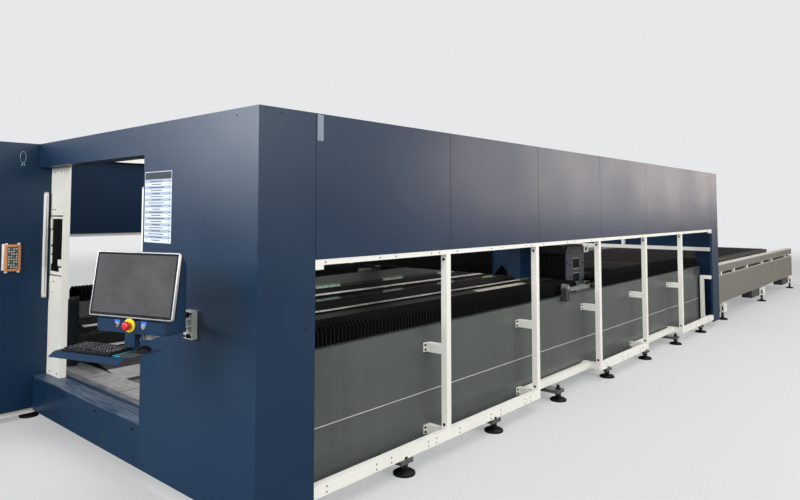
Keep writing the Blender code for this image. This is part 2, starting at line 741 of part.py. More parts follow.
def build_frames():
    side_frame("side_frame_near", False, NEAR_FASCIA_BOTTOM - GAP, WHITE)
    far_frame = side_frame("side_frame_far", True, FAR_FASCIA_BOTTOM - GAP, WHITE)

    # On the far side the posts are bolted up to a top rail of its own
    rail_start = CORNER_END + GAP
    rail_end = END_COVER_START - GAP
    rail_top = FAR_FASCIA_BOTTOM - GAP
    rail_low = rail_top - TOP_RAIL_HEIGHT
    rail_y = [mirrored_y(y, True) for y in (FRAME_SETBACK, FRAME_SETBACK + TUBE)]
    cut(far_frame, block(
        "rail_room", (rail_start - SHEET, rail_y[0] + SHEET, rail_low - GAP),
        (rail_end + SHEET, rail_y[1] - SHEET, rail_top + SHEET)), label="rail_room")
    block("top_rail_far", (rail_start, rail_y[0], rail_low), (rail_end, rail_y[1], rail_top), WHITE)

    edge = COVER_RETURN + RUNNING_GAP
    front = CABINET_BACK + RUNNING_GAP
    back = ENCLOSURE_LENGTH - REAR_PANEL_INSET - GAP
    top = ENCLOSURE_TOP - SHEET - GAP
    rails = (edge, ENCLOSURE_WIDTH - edge)
    crosses = [post_right(i) for i in ROOF_CROSS_FASCIAS]
    bay_starts = [front] + [x - TUBE for x in crosses]
    bay_ends = [x - TUBE for x in crosses] + [back - TUBE]
    bays = [
        rectangle(s + TUBE, rails[0] + TUBE, e, rails[1] - TUBE)
        for s, e in zip(bay_starts, bay_ends)
    ]
    outline_solid("roof_frame", [rectangle(front, rails[0], back, rails[1])] + bays,
                  "Z", top - TUBE, top, WHITE)

    # Rear wall with the opening that the pallets pass through
    wall = ENCLOSURE_LENGTH - REAR_PANEL_INSET
    near = SHEET + GAP
    far = ENCLOSURE_WIDTH - near
    opening = (REAR_OPENING_INSET, ENCLOSURE_WIDTH - REAR_OPENING_INSET)
    outline_solid("rear_panel", [[
        (near, COVER_BOTTOM), (opening[0], COVER_BOTTOM), (opening[0], REAR_OPENING_TOP),
        (opening[1], REAR_OPENING_TOP), (opening[1], COVER_BOTTOM), (far, COVER_BOTTOM),
        (far, ENCLOSURE_TOP), (near, ENCLOSURE_TOP),
    ]], "X", wall, wall + SHEET, NAVY)

    low = REAR_RAIL_LOW
    high = REAR_RAIL_LOW + REAR_RAIL_HEIGHT
    middle = ENCLOSURE_WIDTH / 2
    roof = top - TUBE - GAP
    left = middle - REAR_POST_OFFSET
    right = middle + REAR_POST_OFFSET
    outline_solid("rear_frame", [[
        (rails[0], low), (rails[1], low), (rails[1], high),
        (right, high), (right, roof), (right - TUBE, roof), (right - TUBE, high),
        (left + TUBE, high), (left + TUBE, roof), (left, roof), (left, high), (rails[0], high),
    ]], "X", wall - GAP - TUBE, wall - GAP, WHITE)


def build_cabinet():
    inner = SHEET
    far = ENCLOSURE_WIDTH
    body = block("cabinet_body", (CABINET_FRONT, CABINET_SIDE, CABINET_BOTTOM),
                 (CABINET_BACK, far, ENCLOSURE_TOP), NAVY)
    cut(body, block(
        "room", (CABINET_FRONT + inner, CABINET_SIDE + inner, CABINET_BOTTOM + inner),
        (CABINET_BACK - inner, far - inner, ENCLOSURE_TOP - inner)))
    rim = CABINET_RIM
    cut(body, block(
        "mouth", (CABINET_FRONT - 0.01, CABINET_SIDE + rim, CABINET_BOTTOM + rim),
        (CABINET_FRONT + inner * 2, far - rim, ENCLOSURE_TOP - rim)), label="mouth")
    inset = PLINTH_INSET
    feet = []
    for x in (CABINET_FRONT + inset + FOOT_RADIUS, CABINET_BACK - inset - FOOT_RADIUS):
        for y in (CABINET_SIDE + inset + FOOT_RADIUS, far - inset - FOOT_RADIUS):
            feet.append(foot("foot", x, y, PLINTH_BOTTOM + 0.01))
    plinth = block("plinth", (CABINET_FRONT + inset, CABINET_SIDE + inset, PLINTH_BOTTOM),
                   (CABINET_BACK - inset, far - inset, CABINET_BOTTOM + inner * 0.5))
    unite(body, plinth)
    unite(body, *feet, label="feet")

    front = CABINET_FRONT - GAP
    outer = front - DOOR_THICK
    hinge_y = far - HINGE_MARGIN
    hinge = empty("cabinet_door_hinge", (outer - HINGE_MARGIN / 3, hinge_y, CABINET_BOTTOM), MACHINE)
    low = CABINET_BOTTOM + HANDLE_REACH
    high = ENCLOSURE_TOP - HANDLE_REACH
    door = block("cabinet_door", (outer, CABINET_SIDE + DOOR_MARGIN, low),
                 (front, hinge_y, high), NAVY)
    knuckles = []
    for height in (low + HINGE_HEIGHT * 2, (low + high) / 2, high - HINGE_HEIGHT * 2):
        knuckles.append(cylinder("knuckle", HINGE_RADIUS, 0.0, HINGE_HEIGHT,
                                 (hinge.location.x, hinge_y, height), segments=12))
    handle_y = CABINET_SIDE + DOOR_MARGIN + HANDLE_WIDTH * 1.5
    handle = block("handle", (X_MIN, handle_y, HANDLE_LOW),
                   (outer + SHEET, handle_y + HANDLE_WIDTH, HANDLE_LOW + HANDLE_HEIGHT))
    unite(door, handle, *knuckles)
    carry(hinge, door)

    centre_x = (CABINET_FRONT + CABINET_BACK) / 2
    centre_y = (CABINET_SIDE + far) / 2
    floor = CABINET_BOTTOM + inner + GAP
    block("laser_source", (centre_x - SOURCE_LENGTH / 2, centre_y - SOURCE_WIDTH / 2, floor),
          (centre_x + SOURCE_LENGTH / 2, centre_y + SOURCE_WIDTH / 2, floor + SOURCE_HEIGHT),
          SILVER)
    remote = block("remote_control", (REMOTE_X, CABINET_SIDE - GAP - REMOTE_THICK, REMOTE_LOW),
                   (REMOTE_X + REMOTE_LENGTH, CABINET_SIDE - GAP, REMOTE_LOW + REMOTE_HEIGHT),
                   ORANGE_PLASTIC)
    soften(remote, 0.005)


def track_ledges(face, reach):
    # The inner face of a side box, going up, with its two pallet tracks
    points = [(face, BED_BOTTOM)]
    for top in (TRACK_LOW, TRACK_HIGH):
        points += [(face, top - TRACK_THICK), (reach, top - TRACK_THICK), (reach, top), (face, top)]
    return points


def bed_section():
    outer, face = BED_SIDE_OUTER, BED_SIDE_INNER
    chain_reach = face + CHAIN_SIZE[0]
    points = [(outer, BED_BOTTOM), (face, BED_BOTTOM)]
    for top, rise in ((TRACK_LOW, CHAIN_RISE), (TRACK_HIGH, CHAIN_UPPER_RISE)):
        chain = top + rise
        points += [
            (face, top - TRACK_THICK), (TRACK_REACH, top - TRACK_THICK), (TRACK_REACH, top),
            (face, top), (face, chain), (chain_reach, chain),
            (chain_reach, chain + CHAIN_SIZE[1]), (face, chain + CHAIN_SIZE[1]),
        ]
    rail = (GUIDE_RAIL_Y, GUIDE_RAIL_Y + GUIDE_RAIL_SIZE[0])
    groove = (GROOVE_HEIGHT - GROOVE_SIZE / 2, GROOVE_HEIGHT + GROOVE_SIZE / 2)
    points += [
        (face, BED_TOP), (rail[1], BED_TOP), (rail[1], BED_TOP + GUIDE_RAIL_SIZE[1]),
        (rail[0], BED_TOP + GUIDE_RAIL_SIZE[1]), (rail[0], BED_TOP), (outer, BED_TOP),
        (outer, groove[1]), (outer + GROOVE_SIZE, groove[1]),
        (outer + GROOVE_SIZE, groove[0]), (outer, groove[0]),
    ]
    return points


def bellows_outline(start, end, low, high):
    # Side view of a pleated cover: flat below, folded to peaks and valleys above
    folds = max(2, round((end - start) / BELLOWS_PLEAT))
    pitch = (end - start) / folds
    points = [(start, low), (end, low)]
    for fold in range(folds, 0, -1):
        points += [
            (start + fold * pitch, high - BELLOWS_PLEAT_DEPTH),
            (start + (fold - 0.5) * pitch, high),
        ]
    points.append((start, high - BELLOWS_PLEAT_DEPTH))
    return points


def build_bed():
    for side, far in (("near", False), ("far", True)):
        box = outline_solid(f"bed_side_{side}", [mirrored_outline(bed_section(), far)], "X",
                            BED_START, BED_END, BED_GREY)
        outer = mirrored_y(BED_SIDE_OUTER - 0.01, far)
        inner = mirrored_y(BED_SIDE_OUTER + SLOT_DEPTH, far)
        cut(box, block("slot", (SLOT_X, outer, SLOT_LOW), (SLOT_X + SLOT_WIDTH, inner, SLOT_HIGH)))
        half = OUTRIGGER_WIDTH / 2
        plate_y = [mirrored_y(y, far) for y in OUTRIGGER_Y]
        stations = [BED_FOOT_FIRST + i * BED_FOOT_PITCH for i in range(BED_FOOT_COUNT)]
        unite(box, *[
            block("outrigger", (x - half, plate_y[0], OUTRIGGER_Z[0]),
                  (x + half, plate_y[1], OUTRIGGER_Z[1]))
            for x in stations
        ])
        unite(box, *[
            foot("foot", x, mirrored_y(BED_FOOT_Y, far), OUTRIGGER_Z[0] + FOOT_THICK / 2)
            for x in stations
        ], label="feet")

        lows = (BED_START + BELLOWS_END, GANTRY_START + GANTRY_LENGTH + BELLOWS_END)
        highs = (GANTRY_START - BELLOWS_END, BED_END - BELLOWS_END)
        tunnel = (GUIDE_RAIL_Y - BELLOWS_TUNNEL_MARGIN,
                  GUIDE_RAIL_Y + GUIDE_RAIL_SIZE[0] + BELLOWS_TUNNEL_MARGIN)
        roof = BED_TOP + GUIDE_RAIL_SIZE[1] + BELLOWS_TUNNEL_MARGIN
        for end, start_x, end_x in zip(("front", "rear"), lows, highs):
            outline = bellows_outline(start_x, end_x, BED_TOP + GAP, BELLOWS_TOP)
            cover = outline_solid(f"bellows_{side}_{end}", [outline], "Y",
                                  mirrored_y(BELLOWS_OUTER, far), mirrored_y(BELLOWS_INNER, far),
                                  BLACK_CLOTH)
            cut(cover, block("tunnel", (start_x - 0.01, mirrored_y(tunnel[0], far), BED_TOP - 0.01),
                             (end_x + 0.01, mirrored_y(tunnel[1], far), roof)))

    near = BED_SIDE_INNER + GAP
    far = ENCLOSURE_WIDTH - near
    width = CROSS_BEAM_WIDTH
    block("bed_front_beam", (BED_START, near, BED_BOTTOM),
          (BED_START + width, far, CROSS_BEAM_TOP), BED_GREY)
    block("bed_rear_beam", (BED_END - width, near, BED_BOTTOM),
          (BED_END, far, CROSS_BEAM_TOP), BED_GREY)
    low = CROSS_BEAM_TOP + GAP
    high = low + TRAY_RISE
    flat = (ENCLOSURE_WIDTH / 2 - TRAY_FLAT / 2, ENCLOSURE_WIDTH / 2 + TRAY_FLAT / 2)
    outline_solid("slag_tray", [[
        (near, high), (flat[0], low), (flat[1], low), (far, high), (far, high + TRAY_THICK),
        (flat[1], low + TRAY_THICK), (flat[0], low + TRAY_THICK), (near, high + TRAY_THICK),
    ]], "X", BED_START, BED_END, DARK_STEEL)


def stadium(x0, z0, x1, z1, steps=6):
    # An upright slot shape with round ends
    radius = (x1 - x0) / 2
    centre = (x0 + x1) / 2
    points = []
    for middle, first in ((z1 - radius, 0.0), (z0 + radius, math.pi)):
        for step in range(steps + 1):
            angle = first + math.pi * step / steps
            points.append((centre + radius * math.cos(angle), middle + radius * math.sin(angle)))
    return points


def gantry_plate(name, far):
    x0 = GANTRY_START
    x1 = GANTRY_START + GANTRY_LENGTH
    windows = [
        rectangle(x0 + PLATE_WINDOW[0], low, x0 + PLATE_WINDOW[1], high)
        for low, high in (PLATE_WINDOW_LOW, PLATE_WINDOW_HIGH)
    ]
    rim = [
        (x0, GANTRY_PLATE_BOTTOM), (x1, GANTRY_PLATE_BOTTOM), (x1, GANTRY_PLATE_TOP),
        (x0 + GANTRY_CHAMFER[0], GANTRY_PLATE_TOP), (x0, GANTRY_PLATE_TOP - GANTRY_CHAMFER[1]),
    ]
    plate_y = (GANTRY_PLATE_Y, GANTRY_PLATE_Y + GANTRY_PLATE_THICK)
    plate = outline_solid(name, [rim] + windows, "Y", mirrored_y(plate_y[0], far),
                          mirrored_y(plate_y[1], far), BED_GREY)
    middle = (x0 + x1) / 2
    rail = GUIDE_RAIL_Y + GUIDE_RAIL_SIZE[0] / 2
    seat = BED_TOP + GUIDE_RAIL_SIZE[1] + GAP
    arm_low = GANTRY_PLATE_BOTTOM + SHEET
    drive_y = (DRIVE_Y, DRIVE_Y + DRIVE_THICK)
    foot_x = x0 + SHEET
    unite(
        plate,
        block("runner", (middle - RUNNER_LENGTH / 2, mirrored_y(rail - RUNNER_WIDTH / 2, far), seat),
              (middle + RUNNER_LENGTH / 2, mirrored_y(rail + RUNNER_WIDTH / 2, far),
               GANTRY_PLATE_BOTTOM + SHEET)),
    )
    arm = outline_solid("arm", [mirrored_plan([
        (DRIVE_X + DRIVE_WIDTH / 2, drive_y[0] + SHEET),
        (foot_x + TUBE, drive_y[0] + SHEET), (foot_x + TUBE, plate_y[0] + SHEET),
        (foot_x, plate_y[0] + SHEET), (foot_x, drive_y[1] - SHEET),
        (DRIVE_X + DRIVE_WIDTH / 2, drive_y[1] - SHEET),
    ], far)], "Z", arm_low, arm_low + DRIVE_ARM_HEIGHT)
    unite(plate, arm, label="drive_arm")
    drive = outline_solid("drive", [stadium(DRIVE_X, DRIVE_LOW, DRIVE_X + DRIVE_WIDTH, DRIVE_HIGH)],
                          "Y", mirrored_y(drive_y[0], far), mirrored_y(drive_y[1], far))
    unite(plate, drive, label="drive")
    return plate


def pleated_wall(name, start, end, back, front, low, high):
    # A pleated cover in plan: flat behind, folded in front
    folds = max(2, round((end - start) / COVER_PLEAT))
    pitch = (end - start) / folds
    valley = front + COVER_PLEAT_DEPTH
    points = [(back, start), (back, end)]
    for fold in range(folds, 0, -1):
        points += [(valley, start + fold * pitch), (front, start + (fold - 0.5) * pitch)]
    points.append((valley, start))
    return outline_solid(name, [points], "Z", low, high, BLACK_CLOTH)


def build_gantry():
    x0 = GANTRY_START + BEAM_BACKSET
    x1 = GANTRY_START + GANTRY_LENGTH
    carrier = empty("gantry_carrier", ((x0 + x1) / 2, ENCLOSURE_WIDTH / 2, BEAM_LOW), MACHINE)
    near = gantry_plate("gantry_plate_near", False)
    far = gantry_plate("gantry_plate_far", True)
    face = GANTRY_PLATE_Y + GANTRY_PLATE_THICK
    y0 = face + GAP
    y1 = ENCLOSURE_WIDTH - y0
    beam = block("gantry_beam", (x0, y0, BEAM_LOW), (x1, y1, BEAM_HIGH), BED_GREY)
    rail_x = x0 - CROSS_RAIL_DEPTH
    unite(beam, *[
        block("rail", (rail_x, y0 + CROSS_RAIL_INSET, low),
              (x0 + SHEET, y1 - CROSS_RAIL_INSET, low + CROSS_RAIL_HEIGHT))
        for low in CROSS_RAIL_LOWS
    ], block("top_cover", (GANTRY_START - TOP_COVER_OVERHANG[0], y0 + SHEET, TOP_COVER_LOW),
             (x1 + TOP_COVER_OVERHANG[1], y1 - SHEET, TOP_COVER_HIGH)))
    back = rail_x - GAP
    front = back - COVER_DEPTH
    head_near = HEAD_CENTRE - SADDLE_WIDTH / 2 - HEAD_CLEARANCE
    head_far = HEAD_CENTRE + SADDLE_WIDTH / 2 + HEAD_CLEARANCE
    cover_near = pleated_wall("gantry_bellows_near", face + HEAD_CLEARANCE, head_near, back, front,
                              COVER_LOW, COVER_HIGH)
    cover_far = pleated_wall("gantry_bellows_far", head_far, y1 - HEAD_CLEARANCE, back, front,
                             COVER_LOW, COVER_HIGH)
    carry(carrier, near, far, beam, cover_near, cover_far)
    return rail_x


def build_head(rail_x):
    y = HEAD_CENTRE
    half = HEAD_WIDTH / 2
    slide = empty("head_carrier", (rail_x, y, SADDLE_LOW), MACHINE)
    saddle_half = SADDLE_WIDTH / 2
    roof = HOUSING_HIGH - SHEET
    plate_back = LIFT_PLATE_FRONT + LIFT_PLATE_THICK
    saddle = block("head_saddle", (plate_back - SHEET, y - saddle_half, SADDLE_LOW + SHEET),
                   (rail_x - GAP, y + saddle_half, SADDLE_HIGH), BED_GREY)
    unite(saddle, block("lift_plate", (LIFT_PLATE_FRONT, y - half, SADDLE_LOW),
                        (plate_back, y + half, HOUSING_HIGH)))

    shoulder = HEAD_FRONT + HEAD_CHAMFER
    face_half = half - HEAD_CHAMFER
    outer = [
        (HEAD_BACK, y - half), (shoulder, y - half), (HEAD_FRONT, y - face_half),
        (HEAD_FRONT, y + face_half), (shoulder, y + half), (HEAD_BACK, y + half),
    ]
    lean = SHEET * (math.sqrt(2) - 1)
    inner = [
        (HEAD_BACK, y + half - SHEET), (shoulder + lean, y + half - SHEET),
        (HEAD_FRONT + SHEET, y + face_half - lean), (HEAD_FRONT + SHEET, y - face_half + lean),
        (shoulder + lean, y - half + SHEET), (HEAD_BACK, y - half + SHEET),
    ]
    housing = outline_solid("head_housing", [outer + inner], "Z", HOUSING_LOW, HOUSING_HIGH, NAVY)
    lid = outline_solid("lid", [[
        (HEAD_BACK - SHEET, y - half + SHEET / 2), (shoulder, y - half + SHEET / 2),
        (HEAD_FRONT + SHEET / 2, y - face_half), (HEAD_FRONT + SHEET / 2, y + face_half),
        (shoulder, y + half - SHEET / 2), (HEAD_BACK - SHEET, y + half - SHEET / 2),
    ]], "Z", roof, HOUSING_HIGH - GAP)
    unite(housing, lid)
    notch = outline_solid("notch", [[
        (y - NOTCH_HALF, HOUSING_LOW - 0.01), (y + NOTCH_HALF, HOUSING_LOW - 0.01),
        (y, HOUSING_LOW + NOTCH_HEIGHT),
    ]], "X", HEAD_FRONT - 0.05, shoulder + 0.02)
    cut(housing, notch)
    carry(slide, saddle, housing)

    plate_back = LIFT_PLATE_FRONT - GAP
    plate_front = plate_back - SLIDE_PLATE_THICK
    optic_half = OPTIC_WIDTH / 2
    optic_x = plate_front - OPTIC_DEPTH / 2
    lift = empty("lift_carrier", (optic_x, y, BARREL_LOW), MACHINE)
    head = block("cutting_head", (plate_front - OPTIC_DEPTH, y - optic_half, OPTIC_LOW),
                 (plate_front + SHEET, y + optic_half, OPTIC_HIGH), SILVER)
    back_plate = block("slide_plate", (plate_front, y - optic_half * 1.2, OPTIC_LOW - SHEET * 10),
                       (plate_back, y + optic_half * 1.2, OPTIC_HIGH + SHEET * 4))
    unite(head, back_plate)
    barrel = cylinder("barrel", BARREL_RADIUS, BARREL_LOW, OPTIC_LOW + SHEET, (optic_x, y, 0.0))
    unite(head, barrel, label="barrel")
    top = BARREL_LOW - GAP
    collar = top - NOZZLE_COLLAR
    nozzle = turned("nozzle", [
        (NOZZLE_BORE, NOZZLE_TIP), (NOZZLE_TIP_RADIUS, NOZZLE_TIP),
        (NOZZLE_RADIUS * 0.7, collar - SHEET), (NOZZLE_RADIUS, collar),
        (NOZZLE_RADIUS, top), (NOZZLE_BORE, top),
    ], (optic_x, y, 0.0), finish=BRASS)
    carry(lift, head, nozzle)


def pallet(name, track):
    # A welded frame with its cross slats, on wheels that run on one pair of tracks
    x0, x1 = PALLET_START, PALLET_START + PALLET_LENGTH
    y0, y1 = PALLET_SIDE, ENCLOSURE_WIDTH - PALLET_SIDE
    room = PALLET_LENGTH - 2 * PALLET_BAR
    pockets = max(2, round(room / SLAT_PITCH))
    pitch = room / pockets
    holes = []
    for i in range(pockets):
        start = x0 + PALLET_BAR + i * pitch
        left = start if i == 0 else start + SLAT_THICK / 2
        right = start + pitch if i == pockets - 1 else start + pitch - SLAT_THICK / 2
        holes.append(rectangle(left, y0 + PALLET_BAR, right, y1 - PALLET_BAR))
    low = track + WHEEL_DROP
    made = outline_solid(name, [rectangle(x0, y0, x1, y1)] + holes, "Z",
                         low, low + PALLET_DEPTH, DARK_STEEL)
    wheels = []
    spacing = (PALLET_LENGTH - 2 * WHEEL_END) / (WHEEL_COUNT - 1)
    for i in range(WHEEL_COUNT):
        x = x0 + WHEEL_END + i * spacing
        for far in (False, True):
            inner = mirrored_y(PALLET_SIDE + WHEEL_INSET, far)
            outer = mirrored_y(PALLET_SIDE + WHEEL_INSET + WHEEL_WIDTH, far)
            height = track + GAP + WHEEL_RADIUS
            wheels.append(cylinder("wheel", WHEEL_RADIUS, min(inner, outer), max(inner, outer),
                                   (x, 0.0, height), "Y", segments=12))
    unite(made, *wheels)
    carrier = empty(name + "_carrier", (x0, ENCLOSURE_WIDTH / 2, track), MACHINE)
    carry(carrier, made)


def build_table():
    pallet("pallet_upper", TRACK_HIGH)
    pallet("pallet_lower", TRACK_LOW)
    slot = (TABLE_SLOT_LOW, TABLE_SLOT_LOW + TABLE_SLOT_HEIGHT)
    outer, face = TABLE_SIDE_OUTER, BED_SIDE_INNER
    section = [(outer, TABLE_BOTTOM), (face, TABLE_BOTTOM)]
    section += track_ledges(face, TRACK_REACH)[1:]
    section += [
        (face, TABLE_GUTTER), (outer + TABLE_LIP, TABLE_GUTTER), (outer + TABLE_LIP, TABLE_TOP),
        (outer, TABLE_TOP), (outer, slot[1]),
        (outer + TABLE_SLOT_DEPTH, slot[1]), (outer + TABLE_SLOT_DEPTH, slot[0]), (outer, slot[0]),
    ]
    stations = [TABLE_FOOT_FIRST + i * TABLE_FOOT_PITCH for i in range(TABLE_FEET)]
    for side, far in (("near", False), ("far", True)):
        box = outline_solid(f"table_side_{side}", [mirrored_outline(section, far)], "X",
                            TABLE_START, TABLE_END, TABLE_GREY)
        leg_y = (outer + LEG_INSET, outer + LEG_INSET + LEG_WIDTH)
        legs = [
            block("leg", (max(TABLE_START + SHEET, x + LEG_END - LEG_LENGTH),
                          mirrored_y(leg_y[0], far), LEG_BOTTOM),
                  (x + LEG_END, mirrored_y(leg_y[1], far), TABLE_BOTTOM + SHEET))
            for x in stations
        ]
        unite(box, *legs)
        dock = [(DOCK_INNER, DOCK_LOW), (face, DOCK_LOW)]
        dock += track_ledges(face, TRACK_REACH)[1:]
        dock += [(face, DOCK_HIGH), (DOCK_INNER, DOCK_HIGH)]
        unite(box, outline_solid("dock", [mirrored_outline(dock, far)], "X",
                                 BED_END + GAP, TABLE_START + SHEET), label="dock")
        half, reach, height = TABLE_FOOT_PLATE
        low = LEG_BOTTOM + SHEET
        unite(box, *[
            block("plate", (x - half * 2, mirrored_y(TABLE_FOOT_Y - reach, far), low),
                  (x, mirrored_y(leg_y[0] + reach, far), low + height))
            for x in stations
        ], label="plates")
        unite(box, *[
            foot("foot", x - half, mirrored_y(TABLE_FOOT_Y, far), low + SHEET)
            for x in stations
        ], label="feet")

    half = TABLE_BEAM_WIDTH / 2
    middle = ENCLOSURE_WIDTH / 2
    high = TABLE_BEAM_LOW + TABLE_BEAM_HEIGHT
    near = face + GAP
    base = block("table_base", (stations[0], middle - half, TABLE_BEAM_LOW + SHEET),
                 (stations[-1], middle + half, high - SHEET), DARK_STEEL)
    unite(base, *[
        block("cross", (x - half, near, TABLE_BEAM_LOW), (x + half, ENCLOSURE_WIDTH - near, high))
        for x in stations
    ])


def build_console_arm():
    plate_half = BRACKET_PLATE[0] / 2
    thick = BRACKET_PLATE[1]
    ear_half = EAR_WIDTH / 2
    arm_top = ARM_LOW + ARM_HEIGHT
    bracket = block("wall_bracket", (-thick, BRACKET_Y - plate_half, BRACKET_LOW),
                    (-GAP, BRACKET_Y + plate_half, BRACKET_LOW + BRACKET_HEIGHT), WHITE)
    ears = [
        block("ear", (-EAR_REACH, BRACKET_Y - ear_half, low),
              (-thick / 2, BRACKET_Y + ear_half, low + EAR_THICK))
        for low in (ARM_LOW - RUNNING_GAP - EAR_THICK, arm_top + RUNNING_GAP)
    ]
    unite(bracket, *ears)
    low = ARM_LOW - RUNNING_GAP - EAR_THICK
    high = arm_top + RUNNING_GAP + EAR_THICK
    pin = turned("pin", [
        (0.0, low - KNOB_HEIGHT), (KNOB_RADIUS, low - KNOB_HEIGHT), (KNOB_RADIUS, low + SHEET),
        (PIN_RADIUS, low + SHEET), (PIN_RADIUS, high - SHEET), (KNOB_RADIUS, high - SHEET),
        (KNOB_RADIUS, high + KNOB_HEIGHT), (0.0, high + KNOB_HEIGHT),
    ], (PIN_X, BRACKET_Y, 0.0))
    unite(bracket, pin, label="pin")

    hinge = empty("console_arm_hinge", (PIN_X, BRACKET_Y, ARM_LOW), MACHINE)
    start = Vector((PIN_X, BRACKET_Y))
    end = Vector((PIVOT_X, PIVOT_Y))
    heading = math.atan2(*(end - start).yx)
    steps = 8
    rim = []
    for centre, first in ((end, heading - math.pi / 2), (start, heading + math.pi / 2)):
        for step in range(steps + 1):
            angle = first + math.pi * step / steps
            rim.append((centre.x + ARM_RADIUS * math.cos(angle),
                        centre.y + ARM_RADIUS * math.sin(angle)))
    bore = PIN_RADIUS + RUNNING_GAP
    eye = [
        (start.x + bore * math.cos(math.tau * k / 16), start.y + bore * math.sin(math.tau * k / 16))
        for k in range(16)
    ]
    arm = outline_solid("swing_arm", [rim, eye], "Z", ARM_LOW, arm_top, WHITE)
    post = cylinder("post", PIVOT_RADIUS, arm_top - SHEET, CONSOLE_LOW - GAP,
                    (PIVOT_X, PIVOT_Y, 0.0))
    unite(arm, post)
    carry(hinge, arm)


def monitor_back(height):
    # Where the leaning back of the monitor stands at a height
    lean = math.tan(MONITOR_TILT)
    foot_x, foot_z = MONITOR_FOOT
    back_x = foot_x + MONITOR_THICK * math.cos(MONITOR_TILT)
    back_z = foot_z - MONITOR_THICK * math.sin(MONITOR_TILT)
    return back_x + (height - back_z) * lean


def build_console():
    pivot = empty("console_pivot", (PIVOT_X, PIVOT_Y, 0.0), MACHINE, CONSOLE_YAW)
    ridge_x, ridge_z = CONSOLE_RIDGE
    clear = GAP / math.cos(MONITOR_TILT)
    housing = outline_solid("console_housing", [[
        (CONSOLE_FACE, CONSOLE_LOW), (CONSOLE_BACK, CONSOLE_LOW), (CONSOLE_BACK, CONSOLE_BACK_TOP),
        (ridge_x, ridge_z), (monitor_back(ridge_z) + clear, ridge_z),
        (monitor_back(CONSOLE_FACE_TOP) + clear, CONSOLE_FACE_TOP),
        (CONSOLE_FACE, CONSOLE_FACE_TOP),
    ]], "Y", CONSOLE_RIGHT, CONSOLE_LEFT, NAVY)
    sunk = CONSOLE_FACE + SHEET
    unite(
        housing,
        cylinder("ring", STOP_RING_RADIUS, CONSOLE_FACE - RING_THICK, sunk,
                 (0, STOP_Y, CONTROL_HEIGHT), "X"),
        cylinder("bezel", BEZEL_RADIUS, CONSOLE_FACE - BEZEL_THICK, sunk,
                 (0, SELECTOR_Y, CONTROL_HEIGHT), "X"),
        cylinder("bezel", BEZEL_RADIUS, CONSOLE_FACE - BEZEL_THICK, sunk,
                 (0, START_Y, CONTROL_HEIGHT), "X"),
    )
    bore_start = CONSOLE_FACE - 2 * RING_THICK
    cut(
        housing,
        cylinder("stop_bore", STOP_STEM_RADIUS + RUNNING_GAP, bore_start,
                 CONSOLE_FACE + BORE_DEPTH, (0, STOP_Y, CONTROL_HEIGHT), "X"),
        cylinder("start_bore", CAP_RADIUS + RUNNING_GAP, bore_start,
                 CONSOLE_FACE + BORE_DEPTH, (0, START_Y, CONTROL_HEIGHT), "X"),
    )

    monitor = block("monitor", (0, -MONITOR_WIDTH / 2, 0),
                    (MONITOR_THICK, MONITOR_WIDTH / 2, MONITOR_HEIGHT), SILVER)
    tilt = Matrix.Rotation(MONITOR_TILT, 3, "Y")
    foot_x, foot_z = MONITOR_FOOT
    centre = tilt @ Vector((MONITOR_THICK / 2, 0, MONITOR_HEIGHT / 2))
    monitor.location = Vector((foot_x, MONITOR_Y, foot_z)) + centre
    monitor.rotation_euler = (0, MONITOR_TILT, 0)
    soften(monitor, 0.006)

    stop = turned("stop_button", [
        (0.0, STOP_HEAD_FRONT), (STOP_HEAD_RADIUS * 0.8, STOP_HEAD_FRONT),
        (STOP_HEAD_RADIUS, STOP_HEAD_FRONT + SHEET), (STOP_HEAD_RADIUS, STOP_HEAD_BACK),
        (STOP_STEM_RADIUS, STOP_HEAD_BACK), (STOP_STEM_RADIUS, STOP_STEM_END),
        (0.0, STOP_STEM_END),
    ], (0, STOP_Y, CONTROL_HEIGHT), "X", RED_PLASTIC)
    start = cylinder("start_button", CAP_RADIUS, START_FRONT, START_END,
                     (0, START_Y, CONTROL_HEIGHT), "X", SILVER)
    selector = cylinder("selector_knob", CAP_RADIUS, SELECTOR_FRONT,
                        CONSOLE_FACE - BEZEL_THICK - GAP, (0, SELECTOR_Y, CONTROL_HEIGHT),
                        "X", BLACK_PLASTIC)

    lip_x = TRAY_FRONT - LIP_REACH
    under = TRAY_TOP - SHEET
    tray = outline_solid("keyboard_tray", [[
        (lip_x, TRAY_TOP - LIP_DROP), (TRAY_FRONT, TRAY_TOP), (TRAY_BACK, TRAY_TOP),
        (TRAY_BACK, under), (TRAY_FRONT + SHEET / 2, under),
        (lip_x + SHEET, TRAY_TOP - LIP_DROP - SHEET),
    ]], "Y", TRAY_RIGHT, TRAY_LEFT, NAVY)
    unite(tray, block("pedestal", (PEDESTAL_X[0], PEDESTAL_Y[0], under + SHEET / 2),
                      (PEDESTAL_X[1], PEDESTAL_Y[1], CONSOLE_LOW - GAP)))
    cut(tray, block("notch", (lip_x - 0.02, TRAY_RIGHT - 0.02, TRAY_TOP - LIP_DROP - 0.02),
                    (TRAY_FRONT + TRAY_NOTCH[1], TRAY_RIGHT + TRAY_NOTCH[0], TRAY_TOP + 0.02)))
    seat = TRAY_TOP + GAP
    keyboard = block("keyboard", (*KEYBOARD_LOW, seat), (*KEYBOARD_HIGH, seat + KEYBOARD_HEIGHT),
                     BLACK_PLASTIC)
    soften(keyboard, 0.003)
    mouse = block("mouse", (*MOUSE_LOW, seat), (*MOUSE_HIGH, seat + MOUSE_HEIGHT), BLACK_PLASTIC)
    soften(mouse, 0.009, 3)
    shift = Vector((CONSOLE_SHIFT, 0.0, 0.0))
    ride(pivot, shift, housing, monitor, stop, start, selector, tray, keyboard, mouse)


build_front()
build_covers()
build_frames()
build_cabinet()
build_bed()
build_head(build_gantry())
build_table()
build_console_arm()
build_console()
